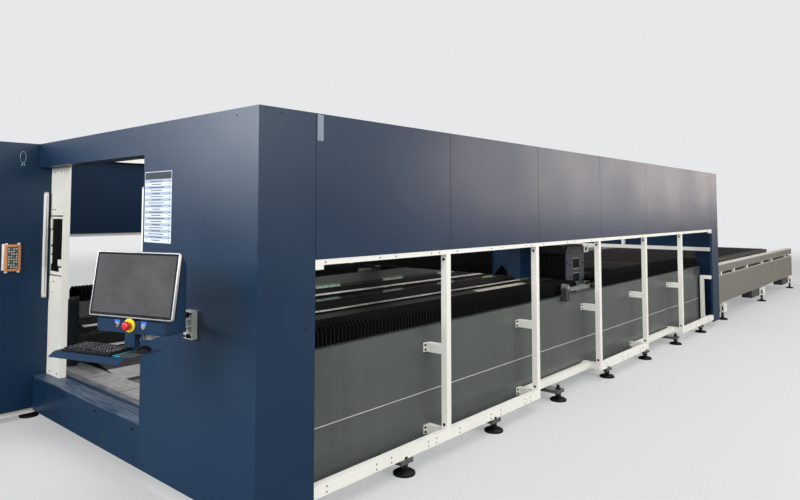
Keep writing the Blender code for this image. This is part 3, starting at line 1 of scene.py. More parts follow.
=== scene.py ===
import math

import bmesh
import bpy
from mathutils import Matrix, Vector


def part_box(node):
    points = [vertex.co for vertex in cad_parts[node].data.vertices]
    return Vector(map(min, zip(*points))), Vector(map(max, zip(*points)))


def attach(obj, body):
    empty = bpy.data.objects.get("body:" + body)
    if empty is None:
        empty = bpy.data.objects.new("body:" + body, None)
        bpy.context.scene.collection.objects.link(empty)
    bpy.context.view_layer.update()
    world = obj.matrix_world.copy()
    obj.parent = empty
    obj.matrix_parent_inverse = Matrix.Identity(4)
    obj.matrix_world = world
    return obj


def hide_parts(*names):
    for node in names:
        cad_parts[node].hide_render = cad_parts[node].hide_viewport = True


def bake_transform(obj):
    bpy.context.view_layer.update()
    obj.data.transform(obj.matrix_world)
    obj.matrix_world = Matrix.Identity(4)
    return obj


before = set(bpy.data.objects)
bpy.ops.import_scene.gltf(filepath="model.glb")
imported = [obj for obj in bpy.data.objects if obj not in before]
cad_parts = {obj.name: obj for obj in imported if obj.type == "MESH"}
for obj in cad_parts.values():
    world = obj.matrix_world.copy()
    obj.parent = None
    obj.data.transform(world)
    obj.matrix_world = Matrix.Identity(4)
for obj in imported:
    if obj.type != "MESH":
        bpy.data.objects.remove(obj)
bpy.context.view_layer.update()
print("frame loaded")

# Sizes are in the machine's own frame: X from the operator's end to the shuttle table,
# Y from the near side to the far one. The shift carries a finished mesh to the part's frame.
machine = {
    "shift": Vector((-6.98, -2.0, 0.0)),
    "width": 4.0,
    "seams": [0.405 + 1.305 * step for step in range(7)],
    "post": 0.05,
    "crease": 38.0,  # an edge that bends by more degrees is sharp
}
toOperator, upward, nearward = (-1, 0, 0), (0, 0, 1), (0, -1, 0)
sides = ((False, nearward), (True, (0, 1, 0)))  # near and far, each with its way out
finishes = {}


def acrossTo(y, far):
    return machine["width"] - y if far else y


def only(items, kind):
    return [item for item in items if isinstance(item, kind)]


def keepMesh(name, bm):
    kept = bpy.data.meshes.new(name)
    bm.to_mesh(kept)
    bm.free()
    return kept


def joinShape(bm, part, slot=0, matrix=None):
    # Adds a finished small shape to the piece that is being built
    if slot is not None:
        for face in part.faces:
            face.material_index = slot
    if matrix:
        part.transform(matrix)
    carried = keepMesh("carried", part)
    bm.from_mesh(carried)
    bpy.data.meshes.remove(carried)


def bevelEdges(bm, edges, offset, segments=1):
    bmesh.ops.bevel(bm, geom=edges, offset=offset, segments=segments, profile=0.5,
                    affect="EDGES", material=-1)


def edgesAlong(part, axis, least=0.01):
    return [edge for edge in part.edges
            if abs(edge.verts[0].co[axis] - edge.verts[1].co[axis]) > least]


def endFace(part, axis, pick=max):
    # The face that lies farthest along an axis, or least far
    return pick(part.faces, key=lambda face: face.calc_center_median()[axis])


def sinkFace(part, face, inset, shift):
    # Draws a face in within a rim and moves it
    bmesh.ops.inset_region(part, faces=[face], thickness=inset)
    sunk = bmesh.ops.extrude_discrete_faces(part, faces=[face])["faces"][0]
    bmesh.ops.translate(part, vec=shift, verts=sunk.verts)
    return sunk


def boxShape(low, high):
    low, high = Vector(map(min, low, high)), Vector(map(max, low, high))
    part = bmesh.new()
    bmesh.ops.create_cube(part, size=1.0)
    bmesh.ops.scale(part, vec=high - low, verts=part.verts)
    bmesh.ops.translate(part, vec=(low + high) / 2, verts=part.verts)
    return part


def addBox(bm, low, high, slot=0, bevel=0.0, segments=1, matrix=None):
    part = boxShape(low, high)
    if bevel:
        bevelEdges(part, part.edges[:], bevel, segments)
    joinShape(bm, part, slot, matrix)


def addBoxes(bm, boxes):
    # Each box is its low and high corner, then its finish, its bevel and the bevel's steps
    for box in boxes:
        addBox(bm, *box)


def addPair(bm, low, high, *rest):
    # A box on the near side and its mirrored twin on the far side
    for far, out in sides:
        near, deep = (Vector((x, acrossTo(y, far), z)) for x, y, z in (low, high))
        addBox(bm, near, deep, *rest)


def facing(centre, direction, turn=0.0):
    # Stands a shape that was made along +Z on a place, pointing another way
    aim = Vector(upward).rotation_difference(Vector(direction)).to_matrix().to_4x4()
    return Matrix.Translation(Vector(centre)) @ aim @ Matrix.Rotation(turn, 4, "Z")


def turnedShape(profile, segments=24):
    part = bmesh.new()
    points = [part.verts.new((radius, 0.0, height)) for radius, height in profile]
    edges = [part.edges.new(pair) for pair in zip(points, points[1:])]
    bmesh.ops.spin(part, geom=points + edges, cent=(0, 0, 0), axis=upward,
                   angle=math.tau, steps=segments, use_merge=True)
    bmesh.ops.remove_doubles(part, verts=part.verts, dist=0.00002)
    bmesh.ops.recalc_face_normals(part, faces=part.faces)
    for face in part.faces:
        face.smooth = True
    return part


def addTurned(bm, profile, centre, direction=upward, slot=0, segments=24):
    joinShape(bm, turnedShape(profile, segments), slot, facing(centre, direction))


def addRound(bm, centre, direction, radius, length, slot=0, segments=20, edge=0.001):
    edge = min(edge, radius * 0.4, length * 0.4)
    addTurned(bm, [(0.0, 0.0), (radius, 0.0), (radius, length - edge),
                   (radius - edge, length), (0.0, length)], centre, direction, slot, segments)


def prism(corners, radius, height):
    part = bmesh.new()
    bmesh.ops.create_cone(part, cap_ends=True, cap_tris=False, segments=corners,
                          radius1=radius, radius2=radius, depth=height)
    bmesh.ops.translate(part, vec=(0, 0, height / 2), verts=part.verts)
    return part


def screwMesh(radius, height):
    # A cap screw with a rounded rim and a socket
    part = prism(16, radius, height)
    rim = [edge for edge in part.edges if all(vert.co.z > height * 0.9 for vert in edge.verts)]
    bevelEdges(part, rim, height * 0.22, 2)
    sinkFace(part, endFace(part, 2), radius * 0.4, (0, 0, -height * 0.5))
    return keepMesh("screw", part)


def nutMesh(radius, height):
    part = prism(6, radius, height)
    upright = edgesAlong(part, 2, height * 0.5)
    bevelEdges(part, [edge for edge in part.edges if edge not in upright], radius * 0.08)
    return keepMesh("nut", part)


def addCopies(bm, template, spots, slot=0):
    for spot in spots:
        copied = template.copy()
        copied.transform(spot)
        for face in copied.polygons:
            face.material_index = slot
        bm.from_mesh(copied)
        bpy.data.meshes.remove(copied)


def addScrews(bm, size, places, direction, slot=0):
    addCopies(bm, screwMesh(*size), [facing(place, direction) for place in places], slot)


def makePiece(name, bm, coats, body, replaced=(), ridesBody=True):
    bm.transform(Matrix.Translation(machine["shift"]))
    mesh = keepMesh(name, bm)
    mesh.set_sharp_from_angle(angle=math.radians(machine["crease"]))
    piece = bpy.data.objects.new(name, mesh)
    for coat in coats:
        mesh.materials.append(finishes[coat])
    bpy.context.scene.collection.objects.link(piece)
    if replaced:
        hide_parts(*replaced)
    if ridesBody:
        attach(piece, body)
    return piece


# Camera, at the photograph's own place
view = {
    "place": (-9.016, -4.788, 1.742), "yaw": 41.23, "pitch": 2.96,
    "sensor": 36.0, "lens": 28.494, "shiftY": -0.0904, "reach": 200.0,
}
cameraData = bpy.data.cameras.new("camera")
cameraData.sensor_width = view["sensor"]
cameraData.lens = view["lens"]
cameraData.shift_y = view["shiftY"]
cameraData.clip_end = view["reach"]
camera = bpy.data.objects.new("camera", cameraData)
camera.location = view["place"]
yaw, pitch = math.radians(view["yaw"]), math.radians(view["pitch"])
ahead = Vector((math.cos(yaw) * math.cos(pitch), math.sin(yaw) * math.cos(pitch), math.sin(pitch)))
camera.rotation_mode = "QUATERNION"
camera.rotation_quaternion = ahead.to_track_quat("-Z", "Y")
bpy.context.scene.collection.objects.link(camera)
bpy.context.scene.camera = camera


def makeGroup(name, inputs, outputs):
    group = bpy.data.node_groups.new(name, "ShaderNodeTree")
    for label, kind, value in inputs:
        socket = group.interface.new_socket(label, in_out="INPUT", socket_type="NodeSocket" + kind)
        socket.default_value = value
    for label, kind in outputs:
        group.interface.new_socket(label, in_out="OUTPUT", socket_type="NodeSocket" + kind)
    start = group.nodes.new("NodeGroupInput")
    end = group.nodes.new("NodeGroupOutput")
    return group, start.outputs, end.inputs


def feed(tree, socket, value):
    if isinstance(value, bpy.types.NodeSocket):
        tree.links.new(value, socket)
    else:
        socket.default_value = value


def addNode(tree, kind, inputs=(), **settings):
    # inputs go by the order of the node's sockets, or by label or number in a dictionary
    node = tree.nodes.new("ShaderNode" + kind)
    for key, value in settings.items():
        setattr(node, key, value)
    for key, value in inputs.items() if isinstance(inputs, dict) else enumerate(inputs):
        feed(tree, node.inputs[key], value)
    return node


def calculate(tree, operation, *values):
    return addNode(tree, "Math", values, operation=operation).outputs[0]


def remap(tree, value, *limits):
    # Low and high to 0 and 1, or to a third and a fourth limit
    return addNode(tree, "MapRange", (value, *limits)).outputs[0]


def noise(tree, place, scale, detail, roughness):
    inputs = {"Vector": place, "Scale": scale, "Detail": detail, "Roughness": roughness}
    return addNode(tree, "TexNoise", inputs).outputs[0]


def objectPlace(tree):
    return addNode(tree, "TexCoord").outputs["Object"]


def blendColour(tree, factor, first, second, kind="MIX"):
    return addNode(tree, "Mix", {0: factor, 6: first, 7: second}, data_type="RGBA",
                   blend_type=kind).outputs[2]


def blendValue(tree, factor, first, second):
    return addNode(tree, "Mix", {0: factor, 2: first, 3: second}, data_type="FLOAT").outputs[0]


# Noise detail and roughness, and the ranges of noise that make patches, grain and streaks
texture = {
    "cloud": (6.0, 0.6), "cloudRange": (0.36, 0.66), "grain": (2.0, 0.5),
    "grainRange": (0.3, 0.7, 0.0, 1.6), "streak": (5.0, 0.65), "coverRange": (0.42, 0.62),
}


def patchyGroup():
    # Two colours in soft patches, with fine grain: the look of every coat on the machine
    grey = (0.5, 0.5, 0.5, 1)
    group, given, result = makeGroup("patchyCoat", [
        ("Main", "Color", grey), ("Patch", "Color", grey), ("Patch size", "Float", 1.0),
        ("Patch share", "Float", 0.5), ("Grain size", "Float", 600.0),
        ("Grain share", "Float", 0.06), ("Smooth", "Float", 0.3), ("Rough", "Float", 0.5),
    ], [("Colour", "Color"), ("Roughness", "Float"), ("Height", "Float")])
    place = objectPlace(group)
    scale = calculate(group, "DIVIDE", 1.0, given["Patch size"])
    cloud = remap(group, noise(group, place, scale, *texture["cloud"]), *texture["cloudRange"])
    share = calculate(group, "MULTIPLY", cloud, given["Patch share"])
    colour = blendColour(group, share, given["Main"], given["Patch"])
    grain = noise(group, place, given["Grain size"], *texture["grain"])
    fleck = remap(group, grain, *texture["grainRange"])
    level = addNode(group, "CombineColor", (fleck, fleck, fleck)).outputs[0]
    colour = blendColour(group, given["Grain share"], colour, level, "OVERLAY")
    rough = remap(group, cloud, 0.0, 1.0, given["Smooth"], given["Rough"])
    for label, value in (("Colour", colour), ("Roughness", rough), ("Height", grain)):
        group.links.new(value, result[label])
    return group


def streakGroup():
    # Marks drawn out along one axis: wiped paint, rolled steel, dust in the wiping direction
    group, given, result = makeGroup("drawnStreaks", [
        ("Stretch", "Vector", (1, 1, 1)), ("Low", "Float", 0.45), ("High", "Float", 0.7),
    ], [("Streak", "Float")])
    drawn = addNode(group, "VectorMath", (objectPlace(group), given["Stretch"]),
                    operation="MULTIPLY").outputs[0]
    streak = remap(group, noise(group, drawn, 1.0, *texture["streak"]), given["Low"],
                   given["High"])
    group.links.new(streak, result["Streak"])
    return group


patchy = patchyGroup()
streaks = streakGroup()


def streakMask(tree, stretch, low, high):
    return addNode(tree, "Group", (stretch, low, high), node_tree=streaks).outputs[0]


def zoneMask(tree, limits):
    # 1 inside a box of the machine's frame, 0 outside. W is the distance from its middle plane
    split = addNode(tree, "SeparateXYZ", (objectPlace(tree),)).outputs
    mask = None
    for axis, (low, high) in limits.items():
        if axis == "W":
            value, shift = calculate(tree, "ABSOLUTE", split[1]), 0.0
        else:
            number = "XYZ".index(axis)
            value, shift = split[number], machine["shift"][number]
        for operation, edge in (("GREATER_THAN", low), ("LESS_THAN", high)):
            if edge is not None:
                test = calculate(tree, operation, value, edge + shift)
                mask = test if mask is None else calculate(tree, "MULTIPLY", mask, test)
    return mask


def mark(colour, stretch, low, high, share, rough=None, **where):
    # Marks where the drawn-out noise passes from low to high, as strong as share, in a box
    return {"colour": colour, "stretch": stretch, "low": low, "high": high, "share": share,
            "rough": rough, "where": where}


def zone(colour, rough, patch=None, stretch=(9, 9, 30), metal=None, **where):
    # A box of the machine's frame with another colour, and streaks of a second one
    return {"colour": colour, "rough": rough, "patch": patch, "stretch": stretch,
            "metal": metal, "where": where}


def makeFinish(name, main, patch, spread, grain, rough, bump=None, metal=0.0, specular=0.5,
               coat=0.0, coatRoughness=0.2, marks=(), zones=()):
    # spread and grain are size and share of patches and grain, rough is the least and most
    # roughness, bump is strength and depth
    finish = bpy.data.materials.new(name)
    finish.use_nodes = True
    tree = finish.node_tree
    shader = tree.nodes["Principled BSDF"]
    base = addNode(tree, "Group", ((*main, 1), (*patch, 1), *spread, *grain, *rough),
                   node_tree=patchy)
    colour, roughness = base.outputs["Colour"], base.outputs["Roughness"]
    for item in marks:
        streak = streakMask(tree, item["stretch"], item["low"], item["high"])
        factor = calculate(tree, "MULTIPLY", streak, item["share"])
        if item["where"]:
            factor = calculate(tree, "MULTIPLY", factor, zoneMask(tree, item["where"]))
        colour = blendColour(tree, factor, colour, (*item["colour"], 1))
        if item["rough"] is not None:
            roughness = blendValue(tree, factor, roughness, item["rough"])
    for item in zones:
        mask = zoneMask(tree, item["where"])
        own = (*item["colour"], 1)
        if item["patch"]:
            cover = streakMask(tree, item["stretch"], *texture["coverRange"])
            own = blendColour(tree, cover, own, (*item["patch"], 1))
        colour = blendColour(tree, mask, colour, own)
        roughness = blendValue(tree, mask, roughness, item["rough"])
        if item["metal"] is not None:
            metal = blendValue(tree, mask, metal, item["metal"])
    for label, value in (("Base Color", colour), ("Roughness", roughness), ("Metallic", metal),
                         ("Specular IOR Level", specular), ("Coat Weight", coat),
                         ("Coat Roughness", coatRoughness)):
        feed(tree, shader.inputs[label], value)
    if bump:
        strength, depth = bump
        relief = addNode(tree, "Bump", {"Strength": strength, "Distance": depth,
                                        "Height": base.outputs["Height"]})
        tree.links.new(relief.outputs[0], shader.inputs["Normal"])
    finishes[name] = finish
    return finish


navy, navyWorn = (0.0065, 0.0245, 0.0590), (0.0090, 0.0305, 0.0710)
cream, creamDull = (0.880, 0.868, 0.808), (0.790, 0.774, 0.706)
castGrey, railBlack = (0.25, 0.25, 0.25), (0.045, 0.045, 0.043)

makeFinish("navyPaint", navy, navyWorn, (1.4, 0.8), (420, 0.10), (0.30, 0.40), (0.16, 0.0006),
           specular=0.34)
# A darker, duller copy of the navy paint for the far cover and rear panel: painted shade of the
# enclosure's inside
makeFinish("navyPaintedShade", (0.0048, 0.0185, 0.0460), (0.0065, 0.0225, 0.0540), (1.4, 0.8),
           (420, 0.10), (0.42, 0.55), (0.16, 0.0006), specular=0.10)
makeFinish(
    "navySill", navy, navyWorn, (0.9, 0.8), (420, 0.10), (0.32, 0.44), (0.16, 0.0006),
    specular=0.28, marks=(
        # Light streaks on the ledge top: scuffs, spread wide enough to also paint the ledge's sheen
        # as a painted highlight
        mark((0.20, 0.25, 0.31), (75, 4, 60), 0.38, 0.74, 0.65, 0.55, Z=(0.345, None)),
        mark((0.11, 0.14, 0.19), (18, 26, 5), 0.66, 0.76, 0.35, Z=(None, 0.345)),
    ))
makeFinish("whitePaint", cream, creamDull, (0.35, 0.6), (260, 0.05), (0.34, 0.50), (0.08, 0.0005),
           marks=(mark((0.42, 0.40, 0.35), (9, 9, 2.2), 0.60, 0.82, 0.35),))
makeFinish(
    "bedPaint", (0.074, 0.083, 0.080), (0.096, 0.106, 0.102), (0.9, 0.7), (300, 0.05),
    (0.28, 0.42), (0.05, 0.0006), specular=0.35, marks=(
        mark((0.125, 0.135, 0.130), (3.4, 3.4, 0.35), 0.46, 0.72, 0.28, 0.34),
        mark((0.042, 0.046, 0.045), (2.0, 2.0, 14), 0.62, 0.80, 0.30, Z=(None, 0.30)),
    ), zones=(
        # inner face painted near black as shade, groove line, slot at the rear end painted dark as
        # shade, machined top
        zone((0.007, 0.007, 0.008), 0.55, (0.015, 0.015, 0.015), (3, 20, 20),
             Y=(0.5495, 3.4505), Z=(0.435, 0.728)),
        zone((0.62, 0.62, 0.60), 0.5, Z=(0.4068, 0.4132)),
        zone((0.016, 0.016, 0.017), 0.7, X=(8.06, 8.11), Y=(0.2005, 3.7995), Z=(0.7355, 0.8545)),
        zone((0.40, 0.40, 0.39), 0.30, (0.22, 0.215, 0.20), (30, 9, 9), 1.0, Z=(0.8801, None)),
        # chain rows, and pallet tracks with near-white tops: worn steel, partly a painted highlight
        zone(railBlack, 0.5, Y=(0.555, 3.445), Z=(0.56, 0.585)),
        zone(railBlack, 0.5, Y=(0.555, 3.445), Z=(0.72, 0.75)),
        *[zone((0.88, 0.86, 0.82), 0.40, (0.40, 0.38, 0.35), (5, 60, 60), 0.1,
               Y=(0.608, 3.392), Z=(top - 0.0155, top)) for top in (0.6705, 0.4605)],
        zone((0.028, 0.024, 0.021), 0.65, Z=(None, 0.0695)),
    ))
makeFinish("innerGrey", (0.070, 0.073, 0.072), (0.040, 0.040, 0.040), (0.5, 0.8), (200, 0.10),
           (0.45, 0.65), (0.10, 0.0006))
makeFinish("bellowsCloth", (0.0022, 0.0024, 0.0030), (0.0050, 0.0050, 0.0052), (0.25, 0.7),
           (900, 0.20), (0.65, 0.85), (0.35, 0.0004), specular=0.05)
# A pale band on each fold of the pleated covers: a painted highlight
makeFinish("bellowsPaintedHighlight", (0.018, 0.018, 0.020), (0.038, 0.038, 0.039), (0.05, 0.9), (500, 0.2),
           (0.6, 0.8), (0.2, 0.0004), specular=0.1)
# Near black: dark joints, and painted shade in openings, windows, a bore and holes
makeFinish("deepBlack", (0.0020, 0.0020, 0.0024), (0.0036, 0.0036, 0.0040), (0.05, 0.6),
           (900, 0.1), (0.55, 0.7), (0.1, 0.0002), specular=0.08)
makeFinish("slatSteel", (0.020, 0.019, 0.019), (0.046, 0.041, 0.037), (0.12, 0.8), (160, 0.30),
           (0.42, 0.75), (0.35, 0.0010), metal=0.4)
makeFinish(
    "trayDust", (0.017, 0.017, 0.017), (0.010, 0.010, 0.010), (0.3, 0.9), (160, 0.15),
    (0.55, 0.75), (0.2, 0.0010), zones=(
        # two worn areas behind the operator's opening, a pale one at the far rear
        zone((0.33, 0.325, 0.315), 0.55, (0.20, 0.197, 0.19), (2, 1, 4),
             X=(None, 1.90), Y=(2.50, 2.83)),
        zone((0.105, 0.105, 0.098), 0.6, (0.060, 0.060, 0.057), (3, 3, 4),
             X=(None, 1.10), Y=(None, 2.40)),
        zone((0.50, 0.455, 0.385), 0.6, (0.34, 0.31, 0.265), (7, 9, 4),
             X=(6.75, 8.30), Y=(2.10, 3.30)),
    ))
makeFinish("steel", (0.50, 0.50, 0.50), (0.38, 0.375, 0.37), (0.08, 0.7), (700, 0.08),
           (0.22, 0.40), (0.08, 0.0002), metal=1.0)
makeFinish("darkScrew", (0.012, 0.012, 0.013), (0.030, 0.029, 0.028), (0.02, 0.8), (900, 0.1),
           (0.30, 0.50), (0.1, 0.0002), metal=0.6)
makeFinish(
    "tablePaint", (0.185, 0.176, 0.150), (0.150, 0.143, 0.122), (0.7, 0.8), (240, 0.06),
    (0.38, 0.55), (0.08, 0.0006), marks=(
        mark((0.240, 0.230, 0.200), (2.6, 3, 0.5), 0.50, 0.75, 0.35),
        mark((0.095, 0.090, 0.076), (6, 6, 22), 0.60, 0.78, 0.35),
    ), zones=(
        # slot between the rails painted near black as shade, their bright faces, pallet tracks,
        # then the legs and feet
        zone((0.010, 0.010, 0.010), 0.8, Y=(0.1005, 3.8995), Z=(0.7055, 0.7445)),
        zone((0.58, 0.55, 0.48), 0.45, Z=(0.8600, None)),
        zone((0.50, 0.47, 0.41), 0.45, W=(1.899, None), Z=(0.692, 0.7055)),
        *[zone((0.45, 0.44, 0.42), 0.4, (0.12, 0.11, 0.10), metal=0.7, Y=(0.552, 3.448), Z=span)
          for span in ((0.448, 0.4605), (0.655, 0.6705))],
        zone((0.030, 0.036, 0.046), 0.55, (0.045, 0.050, 0.058), Z=(None, 0.2605)),
        zone(cream, 0.5, W=(1.8975, None), Z=(0.1225, 0.2235)),
        zone((0.014, 0.013, 0.013), 0.6, Z=(None, 0.1205)),
    ))
makeFinish(
    "cabinetPaint", navy, navyWorn, (1.2, 0.8), (420, 0.10), (0.32, 0.44), (0.16, 0.0006),
    specular=0.28, zones=(
        zone(cream, 0.5, Z=(None, 0.0902)),
        zone((0.014, 0.013, 0.013), 0.6, Z=(None, 0.0448)),
    ))
makeFinish(
    "doorPaint", navy, navyWorn, (1.2, 0.8), (420, 0.10), (0.32, 0.44), (0.16, 0.0006),
    specular=0.28, zones=(
        # lever and hinges
        zone((0.012, 0.012, 0.013), 0.35, X=(None, -0.9703), Y=(3.10, 3.30), Z=(1.0, 1.4)),
        zone((0.30, 0.30, 0.30), 0.3, metal=1.0, X=(None, -0.9703), Y=(3.90, None)),
    ))
makeFinish(
    "apronSheet", (0.330, 0.328, 0.322), (0.215, 0.213, 0.210), (0.18, 0.9), (180, 0.15),
    (0.35, 0.65), (0.15, 0.0008), metal=0.2, marks=(
        mark((0.48, 0.475, 0.46), (40, 3, 9), 0.56, 0.70, 0.6),
        mark((0.11, 0.108, 0.105), (6, 7, 6), 0.60, 0.72, 0.5),
    ), zones=(
        zone((0.150, 0.155, 0.165), 0.5, (0.045, 0.065, 0.105), (30, 5, 5),
             X=(0.20, 0.27), Z=(0.3165, None)),
        zone(navy, 0.45, X=(None, 0.20)),
    ))
makeFinish(
    "gantryPaint", (0.030, 0.037, 0.048), (0.044, 0.052, 0.064), (0.2, 0.7), (300, 0.08),
    (0.40, 0.5), (0.08, 0.0006), specular=0.2, zones=(
        # drive arms, the near runner on both sides of its plate, drive fronts
        zone((0.175, 0.175, 0.165), 0.4, W=(1.631, None), Z=(None, 1.2)),
        zone(castGrey, 0.35, metal=0.9, Y=(0.31, 0.3698), Z=(None, 0.94)),
        zone(castGrey, 0.35, metal=0.9, Y=(0.3852, 0.44), Z=(None, 0.94)),
        zone((0.10, 0.10, 0.098), 0.35, metal=0.6, X=(None, 3.8705), W=(1.80, None)),
    ))
makeFinish(
    "beamPaint", (0.060, 0.065, 0.068), (0.042, 0.045, 0.047), (0.5, 0.8), (260, 0.08),
    (0.4, 0.55), (0.08, 0.0006), specular=0.15, zones=(
        # top cover and cross rails
        zone((0.006, 0.0065, 0.0080), 0.55, Z=(1.2725, None)),
        zone((0.45, 0.45, 0.45), 0.25, metal=1.0, X=(None, 4.3299), Z=(None, 1.26)),
    ))
makeFinish("blackPlastic", (0.0040, 0.0040, 0.0046), (0.0075, 0.0075, 0.0080), (0.05, 0.7),
           (1400, 0.15), (0.40, 0.52), (0.2, 0.0002), specular=0.18)
makeFinish("keyPlastic", (0.0045, 0.0045, 0.0055), (0.012, 0.012, 0.014), (0.008, 0.30),
           (1400, 0.15), (0.45, 0.55), (0.15, 0.0002), specular=0.10)
makeFinish("keyLegend", (0.74, 0.77, 0.84), (0.60, 0.62, 0.70), (0.02, 0.7), (900, 0.08),
           (0.45, 0.55), (0.05, 0.0002))
makeFinish("silverPaint", (0.56, 0.57, 0.58), (0.50, 0.51, 0.52), (0.1, 0.7), (1200, 0.03),
           (0.26, 0.34), metal=0.6)
makeFinish("screenGlass", (0.058, 0.058, 0.061), (0.090, 0.088, 0.090), (0.18, 0.8), (30, 0.02),
           (0.05, 0.12), specular=0.6, coat=1.0, coatRoughness=0.03)
makeFinish("screenRim", (0.006, 0.006, 0.007), (0.009, 0.009, 0.010), (0.1, 0.5), (60, 0.02),
           (0.08, 0.14), specular=0.6, coat=1.0, coatRoughness=0.05)
makeFinish("redPlastic", (0.62, 0.018, 0.030), (0.48, 0.012, 0.020), (0.02, 0.6), (900, 0.05),
           (0.26, 0.40), (0.05, 0.0002), coat=0.3)
makeFinish("yellowPlastic", (0.86, 0.70, 0.020), (0.78, 0.60, 0.015), (0.02, 0.6), (900, 0.05),
           (0.30, 0.42), (0.05, 0.0002))
makeFinish("bluePlate", (0.020, 0.165, 0.620), (0.015, 0.130, 0.520), (0.02, 0.6), (900, 0.05),
           (0.30, 0.45), (0.05, 0.0002))
makeFinish("cyanRubber", (0.020, 0.420, 0.560), (0.015, 0.330, 0.460), (0.02, 0.6), (900, 0.1),
           (0.5, 0.6), (0.1, 0.0002))
makeFinish("orangeRubber", (0.64, 0.255, 0.100), (0.50, 0.190, 0.075), (0.02, 0.7), (700, 0.12),
           (0.42, 0.6), (0.15, 0.0003))
for name, main, patch in (("keyPale", (0.42, 0.44, 0.40), (0.30, 0.33, 0.31)),
                          ("keyTeal", (0.06, 0.17, 0.19), (0.04, 0.12, 0.15))):
    makeFinish(name, main, patch, (0.02, 0.7), (900, 0.08), (0.4, 0.5), (0.05, 0.0002))
for name, main, patch, rough, specular in (
        ("chartPaper", (0.70, 0.76, 0.84), (0.66, 0.72, 0.80), (0.35, 0.5), 0.4),
        ("chartBand", (0.36, 0.44, 0.58), (0.33, 0.41, 0.54), (0.35, 0.5), 0.4),
        ("chartInk", (0.024, 0.029, 0.040), (0.020, 0.024, 0.034), (0.4, 0.5), 0.3)):
    makeFinish(name, main, patch, (0.1, 0.6), (500, 0.04), rough, (0.05, 0.0002),
               specular=specular)
makeFinish("clearFilm", (0.16, 0.20, 0.26), (0.24, 0.28, 0.33), (0.02, 0.8), (300, 0.1),
           (0.12, 0.3), (0.3, 0.0006), coat=0.5)
makeFinish("copper", (0.62, 0.30, 0.17), (0.45, 0.22, 0.13), (0.01, 0.7), (900, 0.1),
           (0.22, 0.4), (0.1, 0.0002), metal=1.0)
makeFinish("guideGreen", (0.40, 0.50, 0.40), (0.16, 0.21, 0.17), (0.06, 0.9), (300, 0.15),
           (0.35, 0.6), (0.1, 0.0004))
makeFinish("chainSteel", (0.10, 0.095, 0.088), (0.22, 0.205, 0.185), (0.03, 0.8), (500, 0.2),
           (0.30, 0.5), (0.1, 0.0003), metal=0.9)
makeFinish("armMetal", (0.66, 0.65, 0.61), (0.50, 0.49, 0.455), (0.03, 0.8), (300, 0.12),
           (0.35, 0.6), (0.15, 0.0005), metal=0.2)
print("finishes made")

nodeFinishes = {
    "navyPaint": ["front_panel", "front_beam", "corner_cover", "end_cover_near", "end_cover_far",
                  "console_housing", "keyboard_tray", "head_housing",
                  *[f"fascia_near_{number}" for number in range(1, 7)]],
    "navySill": ["front_sill"],
    "navyPaintedShade": ["far_cover", "rear_panel"],
    "whitePaint": ["door_post", "side_frame_near", "side_frame_far", "top_rail_far",
                   "roof_frame", "rear_frame"],
    "bedPaint": ["bed_side_near", "bed_side_far"],
    "innerGrey": ["bed_front_beam", "bed_rear_beam", "head_saddle", "table_base"],
    "trayDust": ["slag_tray"],
    "tablePaint": ["table_side_near", "table_side_far"],
    "cabinetPaint": ["cabinet_body"],
    "doorPaint": ["cabinet_door"],
    "apronSheet": ["entry_apron"],
    "gantryPaint": ["gantry_plate_near", "gantry_plate_far"],
    "beamPaint": ["gantry_beam"],
    "silverPaint": ["laser_source", "start_button"],
    "blackPlastic": ["selector_knob"],
    "armMetal": ["swing_arm", "wall_bracket"],
    "copper": ["nozzle"],
}
for coat, names in nodeFinishes.items():
    for name in names:
        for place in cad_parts[name].material_slots:
            place.material = finishes[coat]


# Screws of the white frames, posts and stub plates
screws = {
    "post": (0.0105, 0.006), "rail": (0.0045, 0.003), "plate": (0.0085, 0.007),
    "tops": (1.4567, 1.5067), "railDown": 0.017, "railPlaces": (0.08, 0.55, 0.70, 1.08, 1.17),
    "footPlaces": (0.10, 0.52, 0.66, 1.04, 1.13), "footHeights": (0.118, 0.150),
    "bareBays": (2, 4),  # no screws at the foot of these
    "postDown": 0.07, "postLow": 0.205,
    "stubHeights": (0.716, 0.750, 0.120, 0.153), "stubBack": 0.013,
    "y": {"rail": 0.002, "post": 0.027, "plate": 0.1937},
}


def buildFrameScrews():
    bm = bmesh.new()
    post, rail, plate = (screwMesh(*screws[kind]) for kind in ("post", "rail", "plate"))
    for (far, out), top in zip(sides, screws["tops"]):
        y = {kind: acrossTo(value, far) for kind, value in screws["y"].items()}
        for bay, seam in enumerate(machine["seams"][:6]):
            x = seam - machine["post"]
            if bay:
                heights = (top - screws["postDown"], screws["postLow"])
                addCopies(bm, post, [facing((x, y["post"], z), toOperator) for z in heights])
                addCopies(bm, plate, [facing((x - screws["stubBack"], y["plate"], z), out)
                                      for z in screws["stubHeights"]])
            addCopies(bm, rail, [facing((seam + along, y["rail"], top - screws["railDown"]), out)
                                 for along in screws["railPlaces"]])
            if bay not in screws["bareBays"]:
                addCopies(bm, rail, [facing((seam + along, y["rail"], z), out)
                                     for along in screws["footPlaces"]
                                     for z in screws["footHeights"]])
    makePiece("frameScrews", bm, ["darkScrew"], "machine")


buildFrameScrews()
print("frame screws")


# Pleated covers: folded skins with a painted highlight band on each fold edge, a peak and a valley
# section in turn
pleats = {
    "pitch": 0.035, "depth": 0.017, "headDepth": 0.011, "band": 0.0010, "skin": 0.0008,
    "spans": {"front": (0.52, 4.25), "rear": (4.72, 8.35)}, "y": (0.24, 0.52),
    "z": (0.8806, 1.005), "turn": 0.026, "blendZ": 0.95,
    "headTurn": 0.012, "headMargin": 0.004, "headBlendZ": 1.1,
}


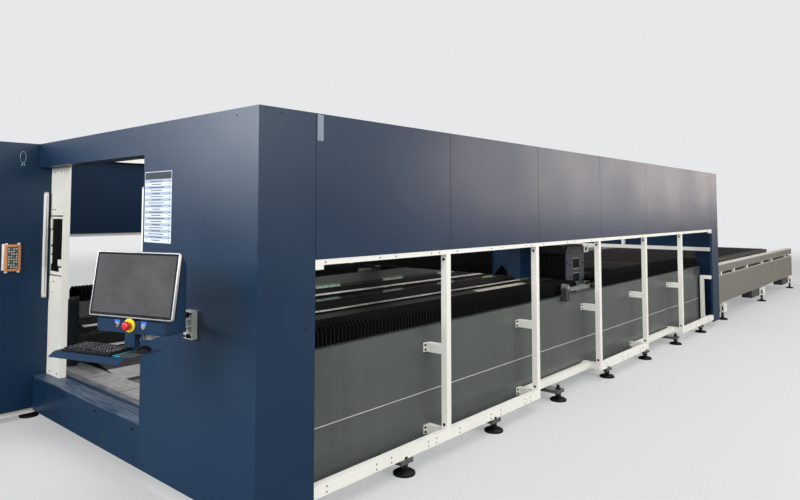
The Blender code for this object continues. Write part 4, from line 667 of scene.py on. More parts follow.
def pleatedCover(name, along, start, end, section, depth, bodies, node):
    # section is the open outline of the cover across its length, at its peaks
    folds = max(2, round((end - start) / pleats["pitch"]))
    half = (end - start) / folds / 2
    band = pleats["band"]
    bm = bmesh.new()
    corners = [Vector((start, a, b)) if along == "X" else Vector((a, start, b)) for a, b in section]
    step = Vector((1, 0, 0)) if along == "X" else Vector((0, 1, 0))
    points = [bm.verts.new(corner) for corner in corners]
    edges = [bm.edges.new(pair) for pair in zip(points, points[1:])]
    valleys = list(points)
    for fold in range(folds):
        # The narrow middle section of each fold, at its peak, takes the second finish: a painted
        # highlight band
        for length, slot in ((half - band, 0), (band * 2, 1), (half - band, 0)):
            grown = bmesh.ops.extrude_edge_only(bm, edges=edges)["geom"]
            points = only(grown, bmesh.types.BMVert)
            bmesh.ops.translate(bm, vec=step * length, verts=points)
            for face in only(grown, bmesh.types.BMFace):
                face.material_index = slot
            edges = [edge for edge in only(grown, bmesh.types.BMEdge)
                     if all(vert in points for vert in edge.verts)]
        valleys += points
    # The valleys sink in from the peaks, towards the line that the cover runs along
    low, high = Vector(map(min, *corners)), Vector(map(max, *corners))
    shrink = Vector([1 - 2 * depth / size if size > 4 * depth else 1 for size in high - low])
    bmesh.ops.scale(bm, vec=shrink, space=Matrix.Translation(-(low + high) / 2), verts=valleys)
    bmesh.ops.recalc_face_normals(bm, faces=bm.faces)
    bmesh.ops.solidify(bm, geom=bm.faces[:], thickness=pleats["skin"])
    piece = makePiece(name, bm, ["bellowsCloth", "bellowsPaintedHighlight"], bodies[0],
                      (node,), ridesBody=False)
    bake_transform(piece)


def buildBellows():
    (low, top), turn = pleats["z"], pleats["turn"]
    for side, (far, out) in zip(("near", "far"), sides):
        outer, inner = (acrossTo(y, far) for y in pleats["y"])
        inward = math.copysign(turn, inner - outer)
        outline = [(outer, low), (outer, top - turn), (outer + inward, top),
                   (inner - inward, top), (inner, top - turn), (inner, low)]
        for end, (start, stop) in pleats["spans"].items():
            bodies = ("machine", "gantry") if end == "front" else ("gantry", "machine")
            pleatedCover(f"bellows_{side}_{end}_folds", "X", start, stop, outline,
                         pleats["depth"], bodies, f"bellows_{side}_{end}")
    turn, margin = pleats["headTurn"], Vector((0, 0, pleats["headMargin"]))
    for side in ("near", "far"):
        least, most = (corner - machine["shift"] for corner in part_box(f"gantry_bellows_{side}"))
        low, top = (least + margin).z, (most - margin).z
        outline = [(most.x, low), (least.x + turn, low), (least.x, low + turn),
                   (least.x, top - turn), (least.x + turn, top), (most.x, top)]
        bodies = ("gantry", "head") if side == "near" else ("head", "gantry")
        pleatedCover(f"gantry_bellows_{side}_folds", "Y", least.y, most.y, outline,
                     pleats["headDepth"], bodies, f"gantry_bellows_{side}")


buildBellows()
print("pleated covers")


# Chains and their guides along both inner faces of the bed
chains = {
    "start": 0.62, "end": 8.25, "pitch": 0.0254, "rows": (0.58, 0.745), "y": 0.5605,
    "above": 0.0002, "plate": (0.0085, 0.0015), "plateY": (-0.00575, 0.00575),
    "roller": (0.006, 0.005),
    "guides": ((0.88, 1.33), (2.15, 2.60), (3.42, 3.85), (4.69, 5.12), (5.96, 6.39), (7.23, 7.66)),
    "guideWalls": ((0.5505, 0.5535, 0.0, 0.030), (0.569, 0.572, -0.012, 0.030),
                   (0.5505, 0.572, 0.019, 0.030)),
}


def chainLink():
    # Two side plates with round ends and their roller
    part = bmesh.new()
    half = chains["pitch"] / 2
    high, (radius, long) = chains["plate"][0], chains["roller"]
    for side in chains["plateY"]:
        plate = prism(10, *chains["plate"])
        bmesh.ops.rotate(plate, verts=plate.verts, matrix=Matrix.Rotation(math.pi / 2, 3, "X"))
        for vert in plate.verts:
            vert.co.x += half if vert.co.x > 0 else -half
        joinShape(part, plate, matrix=Matrix.Translation((0, side, high)))
    roller = turnedShape([(0, -long), (radius, -long), (radius, long), (0, long)], 8)
    joinShape(part, roller, matrix=facing((0, 0, high), (0, 1, 0)))
    return keepMesh("chainLink", part)


def buildChains():
    bm = bmesh.new()
    link = chainLink()
    count = int((chains["end"] - chains["start"]) / chains["pitch"])
    for far, out in sides:
        for height in chains["rows"]:
            y, z = acrossTo(chains["y"], far), height + chains["above"]
            places = [(chains["start"] + step * chains["pitch"], y, z) for step in range(count)]
            addCopies(bm, link, [Matrix.Translation(place) for place in places])
    makePiece("rollerChains", bm, ["chainSteel"], "machine")

    bm = bmesh.new()
    for height in chains["rows"]:
        for start, end in chains["guides"]:
            for y0, y1, z0, z1 in chains["guideWalls"]:
                addPair(bm, (start, y0, height + z0), (end, y1, height + z1), 0, 0.0012)
    makePiece("chainGuides", bm, ["guideGreen"], "machine")


buildChains()
print("chains")


# Pallets: welded frames with serrated slats
pallets = {
    "x": (8.76, 14.86), "y": (0.58, 3.42), "depth": 0.145, "bar": 0.08, "wall": 0.006,
    "aboveTrack": 0.04, "barDown": 0.018, "wallUp": 0.03, "wallDown": 0.002,
    "ribs": 6, "ribHalf": 0.03, "ribHeight": 0.05,
    "pitch": 0.10, "slat": 0.0035, "slatUp": 0.045, "tooth": 0.020, "toothDepth": 0.014,
    "toothTip": (0.42, 0.62), "wheels": 6, "wheelEnd": 0.35, "wheelY": 0.645, "wheelUp": 0.0423,
    "wheel": [(0.0, 0.0), (0.0378, 0.0), (0.042, 0.003), (0.042, 0.040), (0.0378, 0.044),
              (0.0231, 0.044), (0.021, 0.038), (0.012, 0.038), (0.012, 0.045), (0.0, 0.045)],
}


def slatMesh(length, low, high):
    # One slat: a strip cut to teeth along its top
    part = bmesh.new()
    count = round(length / pallets["tooth"])
    step = length / count
    valley = high - pallets["toothDepth"]
    rise, fall = (step * share for share in pallets["toothTip"])
    for number in range(count):
        left, right = number * step, (number + 1) * step
        points = [(left, low), (right, low), (right, valley), (left + fall, high),
                  (left + rise, high), (left, valley)]
        part.faces.new([part.verts.new((0, y, z)) for y, z in points])
    bmesh.ops.remove_doubles(part, verts=part.verts, dist=0.00001)
    bmesh.ops.recalc_face_normals(part, faces=part.faces)
    grown = bmesh.ops.extrude_face_region(part, geom=part.faces[:])["geom"]
    bmesh.ops.translate(part, vec=(pallets["slat"], 0, 0), verts=only(grown, bmesh.types.BMVert))
    bmesh.ops.recalc_face_normals(part, faces=part.faces)
    return keepMesh("slat", part)


def buildPallet(name, track, body, node):
    bm = bmesh.new()
    (x0, x1), (y0, y1) = pallets["x"], pallets["y"]
    bar, wall = pallets["bar"], pallets["wall"]
    inX0, inX1, inY0, inY1 = x0 + bar, x1 - bar, y0 + bar, y1 - bar
    low = track + pallets["aboveTrack"]
    high = low + pallets["depth"]
    barTop = high - pallets["barDown"]
    addPair(bm, (x0, y0, low), (x1, inY0, barTop), 0, 0.004, 2)
    addPair(bm, (inX0, inY0, low + pallets["wallUp"]),
            (inX1, inY0 + wall, high - pallets["wallDown"]))
    for x in (x0, inX1):
        addBox(bm, (x, inY0, low), (x + bar, inY1, barTop), 0, 0.004, 2)
    for step in range(1, pallets["ribs"]):
        x, half = x0 + (x1 - x0) * step / pallets["ribs"], pallets["ribHalf"]
        addBox(bm, (x - half, inY0, low), (x + half, inY1, low + pallets["ribHeight"]), 0, 0.003)
    count = round((inX1 - inX0) / pallets["pitch"])
    pitch = (inX1 - inX0) / count
    slat = slatMesh(inY1 - inY0 - 2 * wall, low + pallets["slatUp"], high)
    addCopies(bm, slat, [Matrix.Translation((inX0 + (number + 0.5) * pitch, inY0 + wall, 0))
                         for number in range(count)])
    spacing = (x1 - x0 - 2 * pallets["wheelEnd"]) / (pallets["wheels"] - 1)
    for number in range(pallets["wheels"]):
        x = x0 + pallets["wheelEnd"] + number * spacing
        for far, out in sides:
            centre = (x, acrossTo(pallets["wheelY"], far), track + pallets["wheelUp"])
            addTurned(bm, pallets["wheel"], centre, out, 1)
    makePiece(name, bm, ["slatSteel", "steel"], body, (node,))


buildPallet("upperPalletSlats", 0.67, "upper_pallet", "pallet_upper")
buildPallet("lowerPalletSlats", 0.46, "lower_pallet", "pallet_lower")
print("pallets")


# Shuttle table: slot spacers, and folded foot brackets, each with its slot and bolts
table = {
    "spacers": (9.15, 9.95, 10.85, 12.05, 12.9, 14.3), "stations": (9.14, 11.87, 14.60),
    "spacer": ((0.0, 0.0995, 0.701), (0.05, 0.16, 0.757), 0, 0.003, 2),
    "bracket": [((-0.125, 0.0295, 0.122), (-0.1205, 0.100, 0.2565), 0, 0.001),
                ((-0.1258, 0.050, 0.150), (-0.1248, 0.072, 0.215), 1, 0.0003),
                ((0.0005, 0.0295, 0.122), (0.005, 0.100, 0.2565), 0, 0.001)],
    "bolt": (0.009, 0.004), "boltPlace": (-0.06, 0.0302), "boltHeights": (0.145, 0.205),
}


def buildTableTrim():
    bm = bmesh.new()
    for places, boxes in (("spacers", [table["spacer"]]), ("stations", table["bracket"])):
        for x in table[places]:
            for low, high, *rest in boxes:
                shift = Vector((x, 0, 0))
                addPair(bm, shift + Vector(low), shift + Vector(high), *rest)
    across, y = table["boltPlace"]
    for x in table["stations"]:
        for far, out in sides:
            for z in table["boltHeights"]:
                addRound(bm, (x + across, acrossTo(y, far), z), out, *table["bolt"], 1, 12)
    makePiece("tableTrim", bm, ["whitePaint", "darkScrew"], "machine")


buildTableTrim()


# Levelling feet: discs, nuts and threaded stems over the solid feet, as x, y and bracket top
feet = {
    "bed": [(1.21 + 1.083 * step, 0.02, 0.0997) for step in range(7)],
    "table": [(x - 0.06, 0.08, 0.123) for x in table["stations"]],
    "nut": (0.027, 0.014), "nutLow": 0.040, "nutDown": 0.046,
    "stem": (0.0155, 0.040), "stemUnder": 0.11, "above": 0.0002,
    "disc": [(0.0, 0.0002), (0.0735, 0.0002), (0.0749, 0.002), (0.0749, 0.011), (0.0740, 0.014),
             (0.060, 0.0235), (0.034, 0.026), (0.022, 0.030), (0.0175, 0.034), (0.0175, 0.040),
             (0.0, 0.040)],
}


def buildFeet():
    bm = bmesh.new()
    nut = nutMesh(*feet["nut"])
    for x, nearY, top in feet["bed"] + feet["table"]:
        for far, out in sides:
            y = acrossTo(nearY, far)
            addTurned(bm, feet["disc"], (x, y, 0.0), segments=32)
            nuts = [(feet["nutLow"], 0.3), (top - feet["nutDown"], 0.7)]
            if top < feet["stemUnder"]:
                nuts.append((top + feet["above"], 0.0))
                addRound(bm, (x, y, top), upward, *feet["stem"], 1, 16, 0.002)
            addCopies(bm, nut, [facing((x, y, z), upward, turn) for z, turn in nuts], 1)
    makePiece("levellingFeet", bm, ["blackPlastic", "darkScrew"], "machine")


buildFeet()
print("table trim and feet")


# Gantry: bolts on the end plates, drive cover, windows, motor bracket with bore and rib
gantry = {
    "bolt": (0.010, 0.008), "boltFace": 0.37,
    "bolts": ((4.295, 0.975), (4.295, 1.18), (4.36, 1.29), (4.36, 1.15), (4.672, 1.31),
              (4.672, 1.16), (4.672, 0.975), (4.36, 1.02)),
    "windows": ((4.4302, 4.5748, 0.9552, 1.0598), (4.4302, 4.5748, 1.1052, 1.2198)),
    "windowY": (0.3699, 0.3795, 0.3848), "windowRim": 0.004,
    "boxes": [((3.819, 0.1297, 0.889), (3.841, 0.1285, 0.952), 0, 0.0005),
              ((4.7005, 0.386, 1.268), (4.86, 0.55, 1.346), 2, 0.006, 2),
              ((4.7005, 0.3865, 0.9305), (4.90, 0.46, 0.9445), 2, 0.003, 2),
              ((4.7005, 0.42, 0.9446), (4.76, 0.428, 0.99), 1, 0.002)],
    # x, y, z, radius, length, finish and edge
    "rounds": [(3.83, 0.1297, 0.977, 0.017, 0.0015, 1, 0.0004),
               (3.83, 0.1297, 0.869, 0.017, 0.0015, 0, 0.0004),
               # the last is the bore, a black disc painted as the shade inside it
               (4.79, 0.3862, 1.307, 0.024, 0.001, 3, 0.0003)],
}


def buildGantryDetail():
    bm = bmesh.new()
    front, middle, back = gantry["windowY"]
    rim = gantry["windowRim"]
    for far, out in sides:
        addScrews(bm, gantry["bolt"], [(x, acrossTo(gantry["boltFace"], far), z)
                                       for x, z in gantry["bolts"]], out)
        for x, y, z, radius, length, slot, edge in gantry["rounds"]:
            addRound(bm, (x, acrossTo(y, far), z), out, radius, length, slot, 20, edge)
    for box in gantry["boxes"]:
        addPair(bm, *box)
    # Dark back of each window, painted shade of the plate's inside, in a thin pale rim
    for left, right, low, high in gantry["windows"]:
        addPair(bm, (left, middle, low), (right, back, high), 3)
        for z in (low, high - rim):
            addPair(bm, (left, front, z), (right, middle, z + rim), 1)
    makePiece("gantryDetail", bm, ["darkScrew", "silverPaint", "whitePaint", "deepBlack"],
              "gantry")


buildGantryDetail()


# Cutting head inside its housing, and the housing's screws and lid seam
headParts = {
    "axis": (4.047, 0.9425), "half": (0.0575, 0.0525),
    # low and high end, growth and finish of each block
    "blocks": ((1.20, 1.235, 0.0, 0), (1.237, 1.29, -0.004, 1), (1.292, 1.40, 0.0, 0),
               (1.402, 1.44, -0.003, 1), (1.442, 1.50, 0.0, 0)),
    "back": ((4.105, 0.8795, 1.17), (4.1997, 1.0055, 1.512), 0, 0.003, 2),
    "tip": [(0.0, 1.08), (0.030, 1.08), (0.032, 1.083), (0.032, 1.112), (0.028, 1.115),
            (0.028, 1.135), (0.032, 1.138), (0.032, 1.20), (0.0, 1.20)],
    "lens": (1.262, 0.014, 0.006), "screw": (0.0045, 0.003), "screwY": (-0.042, 0.042),
    "screwHeights": (1.31, 1.385, 1.455, 1.49),
    "cap": (0.006, 0.004), "sideCaps": (4.15, (1.06, 1.36, 1.66)), "sideY": (0.7655, 1.1195),
    "frontCaps": (3.90, (1.30, 1.66)), "frontY": (-0.07, 0.07),
    "lid": ((3.9995, 0.790, 1.6999), (4.18, 1.095, 1.7012), 0, 0.0004),
}


def buildHead():
    bm = bmesh.new()
    (x, y), (halfX, halfY) = headParts["axis"], headParts["half"]
    for low, high, grow, slot in headParts["blocks"]:
        addBox(bm, (x - halfX - grow, y - halfY - grow, low), (x + halfX, y + halfY + grow, high),
               slot, 0.004, 2)
    addBox(bm, *headParts["back"])
    addTurned(bm, headParts["tip"], (x, y, 0), segments=32)
    height, *knob = headParts["lens"]
    addRound(bm, (x - halfX, y, height), toOperator, *knob, 1)
    addScrews(bm, headParts["screw"], [(x - halfX, y + side, z) for side in headParts["screwY"]
                                       for z in headParts["screwHeights"]], toOperator, 1)
    makePiece("cuttingHeadBody", bm, ["silverPaint", "blackPlastic"], "head_lift",
              ("cutting_head",))

    bm = bmesh.new()
    place, heights = headParts["sideCaps"]
    for side, (far, out) in zip(headParts["sideY"], sides):
        addScrews(bm, headParts["cap"], [(place, side, z) for z in heights], out)
    place, heights = headParts["frontCaps"]
    addScrews(bm, headParts["cap"], [(place, y + side, z) for side in headParts["frontY"]
                                     for z in heights], toOperator)
    addBox(bm, *headParts["lid"])
    makePiece("headHousingTrim", bm, ["darkScrew"], "head")


buildHead()
print("gantry and head")


# Chart sheet: paper with a head band, pale bands and two plain bars in each row
chart = {
    "y": (0.893, 1.235), "z": (1.535, 1.993), "header": 1.942, "rows": 20, "margin": 0.006,
    "headMargin": 0.004, "foot": 0.008,
    "barShare": (0.36, 0.62), "barShift": 0.02, "barHalf": 0.05, "barStep": 0.0125,
    "shortBar": (0.018, 0.032), "rules": (1.195, 0.941), "ruleWidth": 0.0012,
    # front and back, finish and bevel of each layer
    "layers": {"paper": (-0.0012, -0.0001, 0, 0.0004), "head": (-0.0016, -0.0010, 1, 0.0002),
               "band": (-0.0015, -0.0010, 2, 0.0001), "bar": (-0.0018, -0.0014, 1, 0.0001),
               "rule": (-0.00165, -0.0011, 2, 0.0001)},
}


def buildChart():
    bm = bmesh.new()

    def addLayer(kind, y0, y1, z0, z1):
        front, back, slot, bevel = chart["layers"][kind]
        addBox(bm, (front, y0, z0), (back, y1, z1), slot, bevel)

    (y0, y1), (z0, z1) = chart["y"], chart["z"]
    header, margin, edge = chart["header"], chart["margin"], chart["headMargin"]
    addLayer("paper", y0, y1, z0, z1)
    addLayer("head", y0 + edge, y1 - edge, header, z1 - edge)
    pitch = (header - z0 - chart["foot"]) / chart["rows"]
    middle = (y0 + y1) / 2 + chart["barShift"]
    for row in range(chart["rows"]):
        low = z0 + margin + row * pitch
        bottom, top = (low + pitch * share for share in chart["barShare"])
        length = chart["barHalf"] + chart["barStep"] * ((row * 7) % 5)
        if row % 2:
            addLayer("band", y0 + margin, y1 - margin, low, low + pitch)
        addLayer("bar", middle - length, middle + length, bottom, top)
        addLayer("bar", *(y0 + place for place in chart["shortBar"]), bottom, top)
    for rule in chart["rules"]:
        addLayer("rule", rule, rule + chart["ruleWidth"], z0 + margin, header)
    makePiece("chartSheet", bm, ["chartPaper", "chartInk", "chartBand"], "machine")


buildChart()


# Fittings of the white post: a black box painted as the shade in its opening, blocks, boxes, its
# two edges and a plate
post = {
    "boxes": [((0.106, 2.838, 1.19), (0.118, 3.088, 1.70), 1, 0.002),
              *[((0.0985, 3.054, low), (0.106, 3.0795, high), 0, 0.002)
                for low, high in ((1.45, 1.575), (1.375, 1.432), (1.285, 1.362))],
              ((0.092, 3.056, 1.585), (0.106, 3.079, 1.668), 0, 0.003, 2),
              ((0.092, 2.850, 1.275), (0.106, 2.905, 1.330), 0, 0.003, 2),
              ((0.092, 2.846, 1.226), (0.106, 2.880, 1.262), 0, 0.003, 2),
              ((0.0955, 2.835, 1.690), (0.0995, 3.095, 1.700), 2, 0.001),
              ((0.0955, 2.835, 1.190), (0.0995, 3.095, 1.198), 2, 0.001),
              ((0.096, 3.035, 1.10), (0.0998, 3.085, 1.165), 0, 0.001)],
    "screw": (0.006, 0.004), "screwX": 0.1,
    "screws": ((2.88, 0.385), (3.03, 0.385), (2.88, 2.07), (3.03, 2.07), (3.0, 1.14),
               (3.05, 1.14), (3.0, 1.75), (3.05, 1.75), (3.02, 1.05)),
}
bm = bmesh.new()
addBoxes(bm, post["boxes"])
addScrews(bm, post["screw"], [(post["screwX"], *place) for place in post["screws"]], toOperator, 2)
makePiece("postFittings", bm, ["whitePaint", "deepBlack", "darkScrew"], "machine")


# Light curtains: node, x, both faces, and the face that the light leaves
curtains = {
    "Near": ("light_curtain_near", 0.004, 1.2553, 1.285, 1.285),
    "Far": ("light_curtain_far", 0.04, 3.07, 3.0997, 3.07),
    "z": (1.0, 1.90), "width": 0.03, "cap": 0.014, "inset": 0.012, "strip": (0.011, 0.019),
}
for side in ("Near", "Far"):
    node, x, y0, y1, face = curtains[side]
    (z0, z1), wide, inset = curtains["z"], curtains["width"], curtains["inset"]
    bm = bmesh.new()
    addBox(bm, (x, y0, z0 + inset), (x + wide, y1, z1 - inset), 0, 0.002, 2)
    for low in (z0, z1 - curtains["cap"]):
        addBox(bm, (x - 0.0005, y0 - 0.0001, low),
               (x + wide + 0.0005, y1 + 0.0001, low + curtains["cap"]), 1, 0.003, 2)
    left, right = (x + place for place in curtains["strip"])
    addBox(bm, (left, face - 0.001, z0 + wide), (right, face + 0.0006, z1 - wide), 1, 0.0003)
    makePiece(f"lightCurtain{side}", bm, ["whitePaint", "silverPaint"], "machine",
              (node,))


# Covers: screws, dark joints between the panels, folded ends of the top rails
covers = {
    "screw": (0.0055, 0.002),
    "frontScrews": ((0.0, 0.514, 1.682), (0.0, 0.20, 2.27), (0.0, 1.20, 0.11), (0.0, 0.06, 0.12)),
    "nearScrews": ((0.333, 0.0, 1.072), (0.15, 0.0, 2.28), (8.46, 0.0, 0.11)),
    "jointHalf": 0.0016, "jointY": (-0.0003, 0.0001), "jointZ": (1.476, 2.3085),
    "railEnds": ((0.4055, 0.475), (8.225, 8.2995)), "railEndY": (0.0022, 0.045),
    "railEndZ": (-0.028, -0.0003), "railTops": (1.4240, 1.4736),
}
bm = bmesh.new()
addScrews(bm, covers["screw"], covers["frontScrews"], toOperator)
addScrews(bm, covers["screw"], covers["nearScrews"], nearward)
makePiece("coverScrews", bm, ["darkScrew"], "machine")

bm = bmesh.new()
half, (y0, y1), (z0, z1) = covers["jointHalf"], covers["jointY"], covers["jointZ"]
for seam in machine["seams"]:
    addPair(bm, (seam - half, y0, z0), (seam + half, y1, z1))
makePiece("coverSeams", bm, ["deepBlack"], "machine")

bm = bmesh.new()
(y0, y1), (down, up) = covers["railEndY"], covers["railEndZ"]
for x0, x1 in covers["railEnds"]:
    for (far, out), top in zip(sides, covers["railTops"]):
        addBox(bm, (x0, acrossTo(y0, far), top + down), (x1, acrossTo(y1, far), top + up), 0, 0.003)
makePiece("railEnds", bm, ["whitePaint"], "machine")


# Apron: joints of its plates, dark discs painted as the shade in the sill's four holes, and the
# worn lip to the tray
apron = {
    "joints": (1.02, 1.62, 2.22, 2.82), "jointX": (0.270, 0.495), "jointZ": (0.3135, 0.3146),
    "jointWidth": 0.004, "holes": [1.34 + 0.561 * step for step in range(4)],
    "holeHeight": 0.304, "rim": (0.0115, 0.0006, 0, 20, 0.0002),
    "lip": ((0.0, 0.61, -0.001), (0.0570, 3.39, 0.001)), "lipPlace": (0.4515, 0.0, 0.3025),
    "lipSlope": -34.0,
}
bm = bmesh.new()
(x0, x1), (z0, z1) = apron["jointX"], apron["jointZ"]
for y in apron["joints"]:
    addBox(bm, (x0, y, z0), (x1, y + apron["jointWidth"], z1))
# Dark discs over the sill's holes: painted shade
for y in apron["holes"]:
    addRound(bm, (-0.0001, y, apron["holeHeight"]), toOperator, *apron["rim"])
makePiece("apronJoints", bm, ["deepBlack"], "machine")

bm = bmesh.new()
slope = Matrix.Rotation(math.radians(apron["lipSlope"]), 4, "Y")
addBox(bm, *apron["lip"], matrix=Matrix.Translation(apron["lipPlace"]) @ slope)
makePiece("apronLip", bm, ["apronSheet"], "machine")


# Clear strip over the corner joint, and a clear hook with its two pads on the cabinet
film = {
    "boxes": [((0.415, -0.0006, 2.150), (0.462, -0.0001, 2.305), 0, 0.0002),
              *[((x, 3.0965, 2.118), (x + 0.012, 3.0998, 2.136), 0, 0.001)
                for x in (-0.142, -0.124)]],
    "ring": [(0.0295, -0.0018), (0.0315, 0.0), (0.0295, 0.0018), (0.0275, 0.0), (0.0295, -0.0018)],
    "stretch": (0.75, 1.6, 1.0), "hook": (-0.13, 3.0975, 2.19),
}
bm = bmesh.new()
addBoxes(bm, film["boxes"])
hook = turnedShape(film["ring"])
bmesh.ops.scale(hook, vec=film["stretch"], verts=hook.verts)
joinShape(bm, hook, 0, facing(film["hook"], nearward))
makePiece("clearFilm", bm, ["clearFilm"], "machine")


# Handheld remote: a soft frame round a keypad, in its holder
remote = {
    "low": (-0.25, 3.0797, 1.24), "high": (-0.13, 3.0997, 1.46), "corner": 0.014, "round": 0.004,
    "frame": 0.016, "sunk": 0.004, "columns": 4, "rows": 8, "pitch": (0.0190, 0.0215),
    "firstKey": (-0.2255, 3.0809, 1.266), "key": (0.0135, 0.0022, 0.0155),
    # keypad, four clips and the side of the holder
    "boxes": [((-0.2295, 3.0829, 1.2605), (-0.1505, 3.0839, 1.4395), 1),
              *[((x, 3.0877, z), (x + 0.02, 3.0993, z + 0.018), 4, 0.003, 2)
                for x in (-0.246, -0.154) for z in (1.228, 1.454)],
              ((-0.268, 3.0857, 1.25), (-0.2505, 3.0993, 1.466), 4, 0.003, 2)],
}


def buildRemote():
    bm = bmesh.new()
    body = boxShape(remote["low"], remote["high"])
    bevelEdges(body, edgesAlong(body, 1), remote["corner"], 4)
    bevelEdges(body, list(endFace(body, 1, min).edges), remote["round"], 2)
    sinkFace(body, endFace(body, 1, min), remote["frame"], (0, remote["sunk"], 0))
    joinShape(bm, body)
    addBoxes(bm, remote["boxes"])
    across, up = remote["pitch"]
    for column in range(remote["columns"]):
        for row in range(remote["rows"]):
            low = Vector(remote["firstKey"]) + Vector((column * across, 0, row * up))
            slot = 3 if (column * 3 + row) % 5 == 0 else 2
            addBox(bm, low, low + Vector(remote["key"]), slot, 0.0012, 2)
    makePiece("remoteKeypad", bm, ["orangeRubber", "blackPlastic", "keyPale", "keyTeal",
                                   "whitePaint"], "machine", ("remote_control",))


buildRemote()
print("front end")


# Operator console, in its own turned frame: X inward, Y to the operator's left
console = {
    "pivot": (-0.3933, 0.3892, 0.0), "yaw": 18.0, "shift": 0.035, "face": -0.1375,
    "controls": 1.16, "stopY": 0.025, "selectorY": 0.109, "startY": -0.068,
}
turnIn = (Matrix.Translation(console["pivot"])
          @ Matrix.Rotation(math.radians(console["yaw"]), 4, "Z")
          @ Matrix.Translation((console["shift"], 0, 0)))


def makeConsolePiece(name, bm, coats, replaced=(), body="console"):
    bm.transform(turnIn)
    makePiece(name, bm, coats, body, replaced)


# Monitor: rounded shell, glass let into its rim, the lit part inside a black border, the back
monitor = {
    "foot": (-0.148, 0.022, 1.198), "tilt": 8.5, "size": (0.035, 0.56, 0.335), "rim": 0.017,
    "corner": 0.012, "round": 0.0022, "frame": 0.004, "sunk": 0.0012, "border": 0.017,
    "chin": 0.003, "lit": (0.0006, 0.0020), "backInset": 0.006,
}


def buildMonitor():
    thick, width, height = monitor["size"]
    rim, border, inset = monitor["rim"], monitor["border"], monitor["backInset"]
    shell = boxShape((0, -width / 2, 0), (rim, width / 2, height))
    bevelEdges(shell, edgesAlong(shell, 0), monitor["corner"], 5)
    for pick in (min, max):
        bevelEdges(shell, list(endFace(shell, 0, pick).edges), monitor["round"], 3)
    for face in shell.faces:
        face.smooth = True
        face.material_index = 0
    glass = sinkFace(shell, endFace(shell, 0, min), monitor["frame"], (monitor["sunk"], 0, 0))
    glass.material_index = 1
    endFace(shell, 0).material_index = 3
    screen = bmesh.new()
    front, back = monitor["lit"]
    addBox(screen, (front, border - width / 2, border + monitor["chin"]),
           (back, width / 2 - border, height - border), 2)
    addBox(screen, (rim - 0.001, inset - width / 2, inset),
           (thick, width / 2 - inset, height - inset), 3, 0.006, 2)
    tilt = (Matrix.Translation(monitor["foot"])
            @ Matrix.Rotation(math.radians(monitor["tilt"]), 4, "Y"))
    bm = bmesh.new()
    for part in (shell, screen):
        joinShape(bm, part, None, tilt)
    makeConsolePiece("monitorShell", bm, ["silverPaint", "screenRim", "screenGlass",
                                          "blackPlastic"], ("monitor",))


# Controls: profiles are radius and height from the panel
controls = {
    "ring": [(0.0118, 0.0), (0.0358, 0.0), (0.0358, 0.0028), (0.034, 0.0052), (0.024, 0.0060),
             (0.0225, 0.0046), (0.0118, 0.0046)],
    "bezel": [(0.0097, 0.0), (0.0142, 0.0), (0.0146, 0.0015), (0.0138, 0.0040),
              (0.0112, 0.0046), (0.0097, 0.0040)],
    "plate": (0.0012, 0.018, 0.003, 0.0245), "mushroomX": -0.1275,
    "mushroom": [(0.0, 0.0), (0.0105, 0.0), (0.0105, 0.024), (0.0205, 0.0262), (0.022, 0.029),
                 (0.022, 0.037), (0.0208, 0.0425), (0.0165, 0.0462), (0.010, 0.0470),
                 (0.0, 0.0470)],
    "selectorX": -0.1408, "lever": (0.0117, 0.006, 0.0022, 0.0078),
    "selector": [(0.0, 0.0), (0.0088, 0.0), (0.0088, 0.006), (0.0080, 0.007), (0.0, 0.007)],
    "screw": (0.004, 0.0025), "screwY": (-0.195, 0.238), "screwHeights": (1.132, 1.172),
    "seam": ((-0.13, -0.2085, 1.1212), (0.0, -0.2072, 1.1245), 0, 0.0003),
}


def buildControls():
    face, height = console["face"], console["controls"]
    # Yellow backing ring, silver bezels and blank blue plates
    bm = bmesh.new()
    addTurned(bm, controls["ring"], (face, console["stopY"], height), toOperator, 0, 40)
    thick, half, low, high = controls["plate"]
    for y in (console["selectorY"], console["startY"]):
        addTurned(bm, controls["bezel"], (face, y, height), toOperator, 1, 32)
        addBox(bm, (face - thick, y - half, height + low), (face - 0.0001, y + half, height + high),
               2, 0.0005)
    makeConsolePiece("controlFittings", bm, ["yellowPlastic", "silverPaint", "bluePlate"])

    bm = bmesh.new()
    addTurned(bm, controls["mushroom"], (controls["mushroomX"], console["stopY"], height),
              toOperator, 0, 40)
    makeConsolePiece("stopMushroom", bm, ["redPlastic"], ("stop_button",),
                     "stop_button")

    bm = bmesh.new()
    start, y = controls["selectorX"], console["selectorY"]
    front, back, wide, tall = controls["lever"]
    addTurned(bm, controls["selector"], (start, y, height), toOperator)
    addBox(bm, (start - front, y - wide, height - tall), (start - back, y + wide, height + tall),
           1, 0.001, 2)
    makeConsolePiece("selectorLever", bm, ["silverPaint", "blackPlastic"],
                     ("selector_knob",), "selector")

    bm = bmesh.new()
    addScrews(bm, controls["screw"], [(face, y, z) for y in controls["screwY"]
                                      for z in controls["screwHeights"]], toOperator)
    addBox(bm, *controls["seam"])
    makeConsolePiece("boxFastenings", bm, ["darkScrew"])


# Keyboard: rows run from the operator's side, keys from the left, and each has a pale mark
keyboard = {
    "low": (-0.318, -0.035), "high": (-0.165, 0.288), "seat": 1.0453, "base": 0.011,
    "rows": 6, "columns": 17, "top": 0.0197, "border": (0.007, 0.006), "gap": 0.003,
    "half": 0.004, "taper": 0.22, "edge": 0.0007, "rowDrop": 0.0004,
    "widths": [[1.5, 1.25, 1.25, 6.0, 1.25, 1.25, 1.25, 1.25, 1.0, 1.0],
               *[[1.5] + [1.0] * 15 + [0.5]] * 2, *[[1.0] * 17] * 3],
    "mark": ((-0.0012, -0.0006, 0.0036), (0.0044, 0.0044, 0.0041)),
}


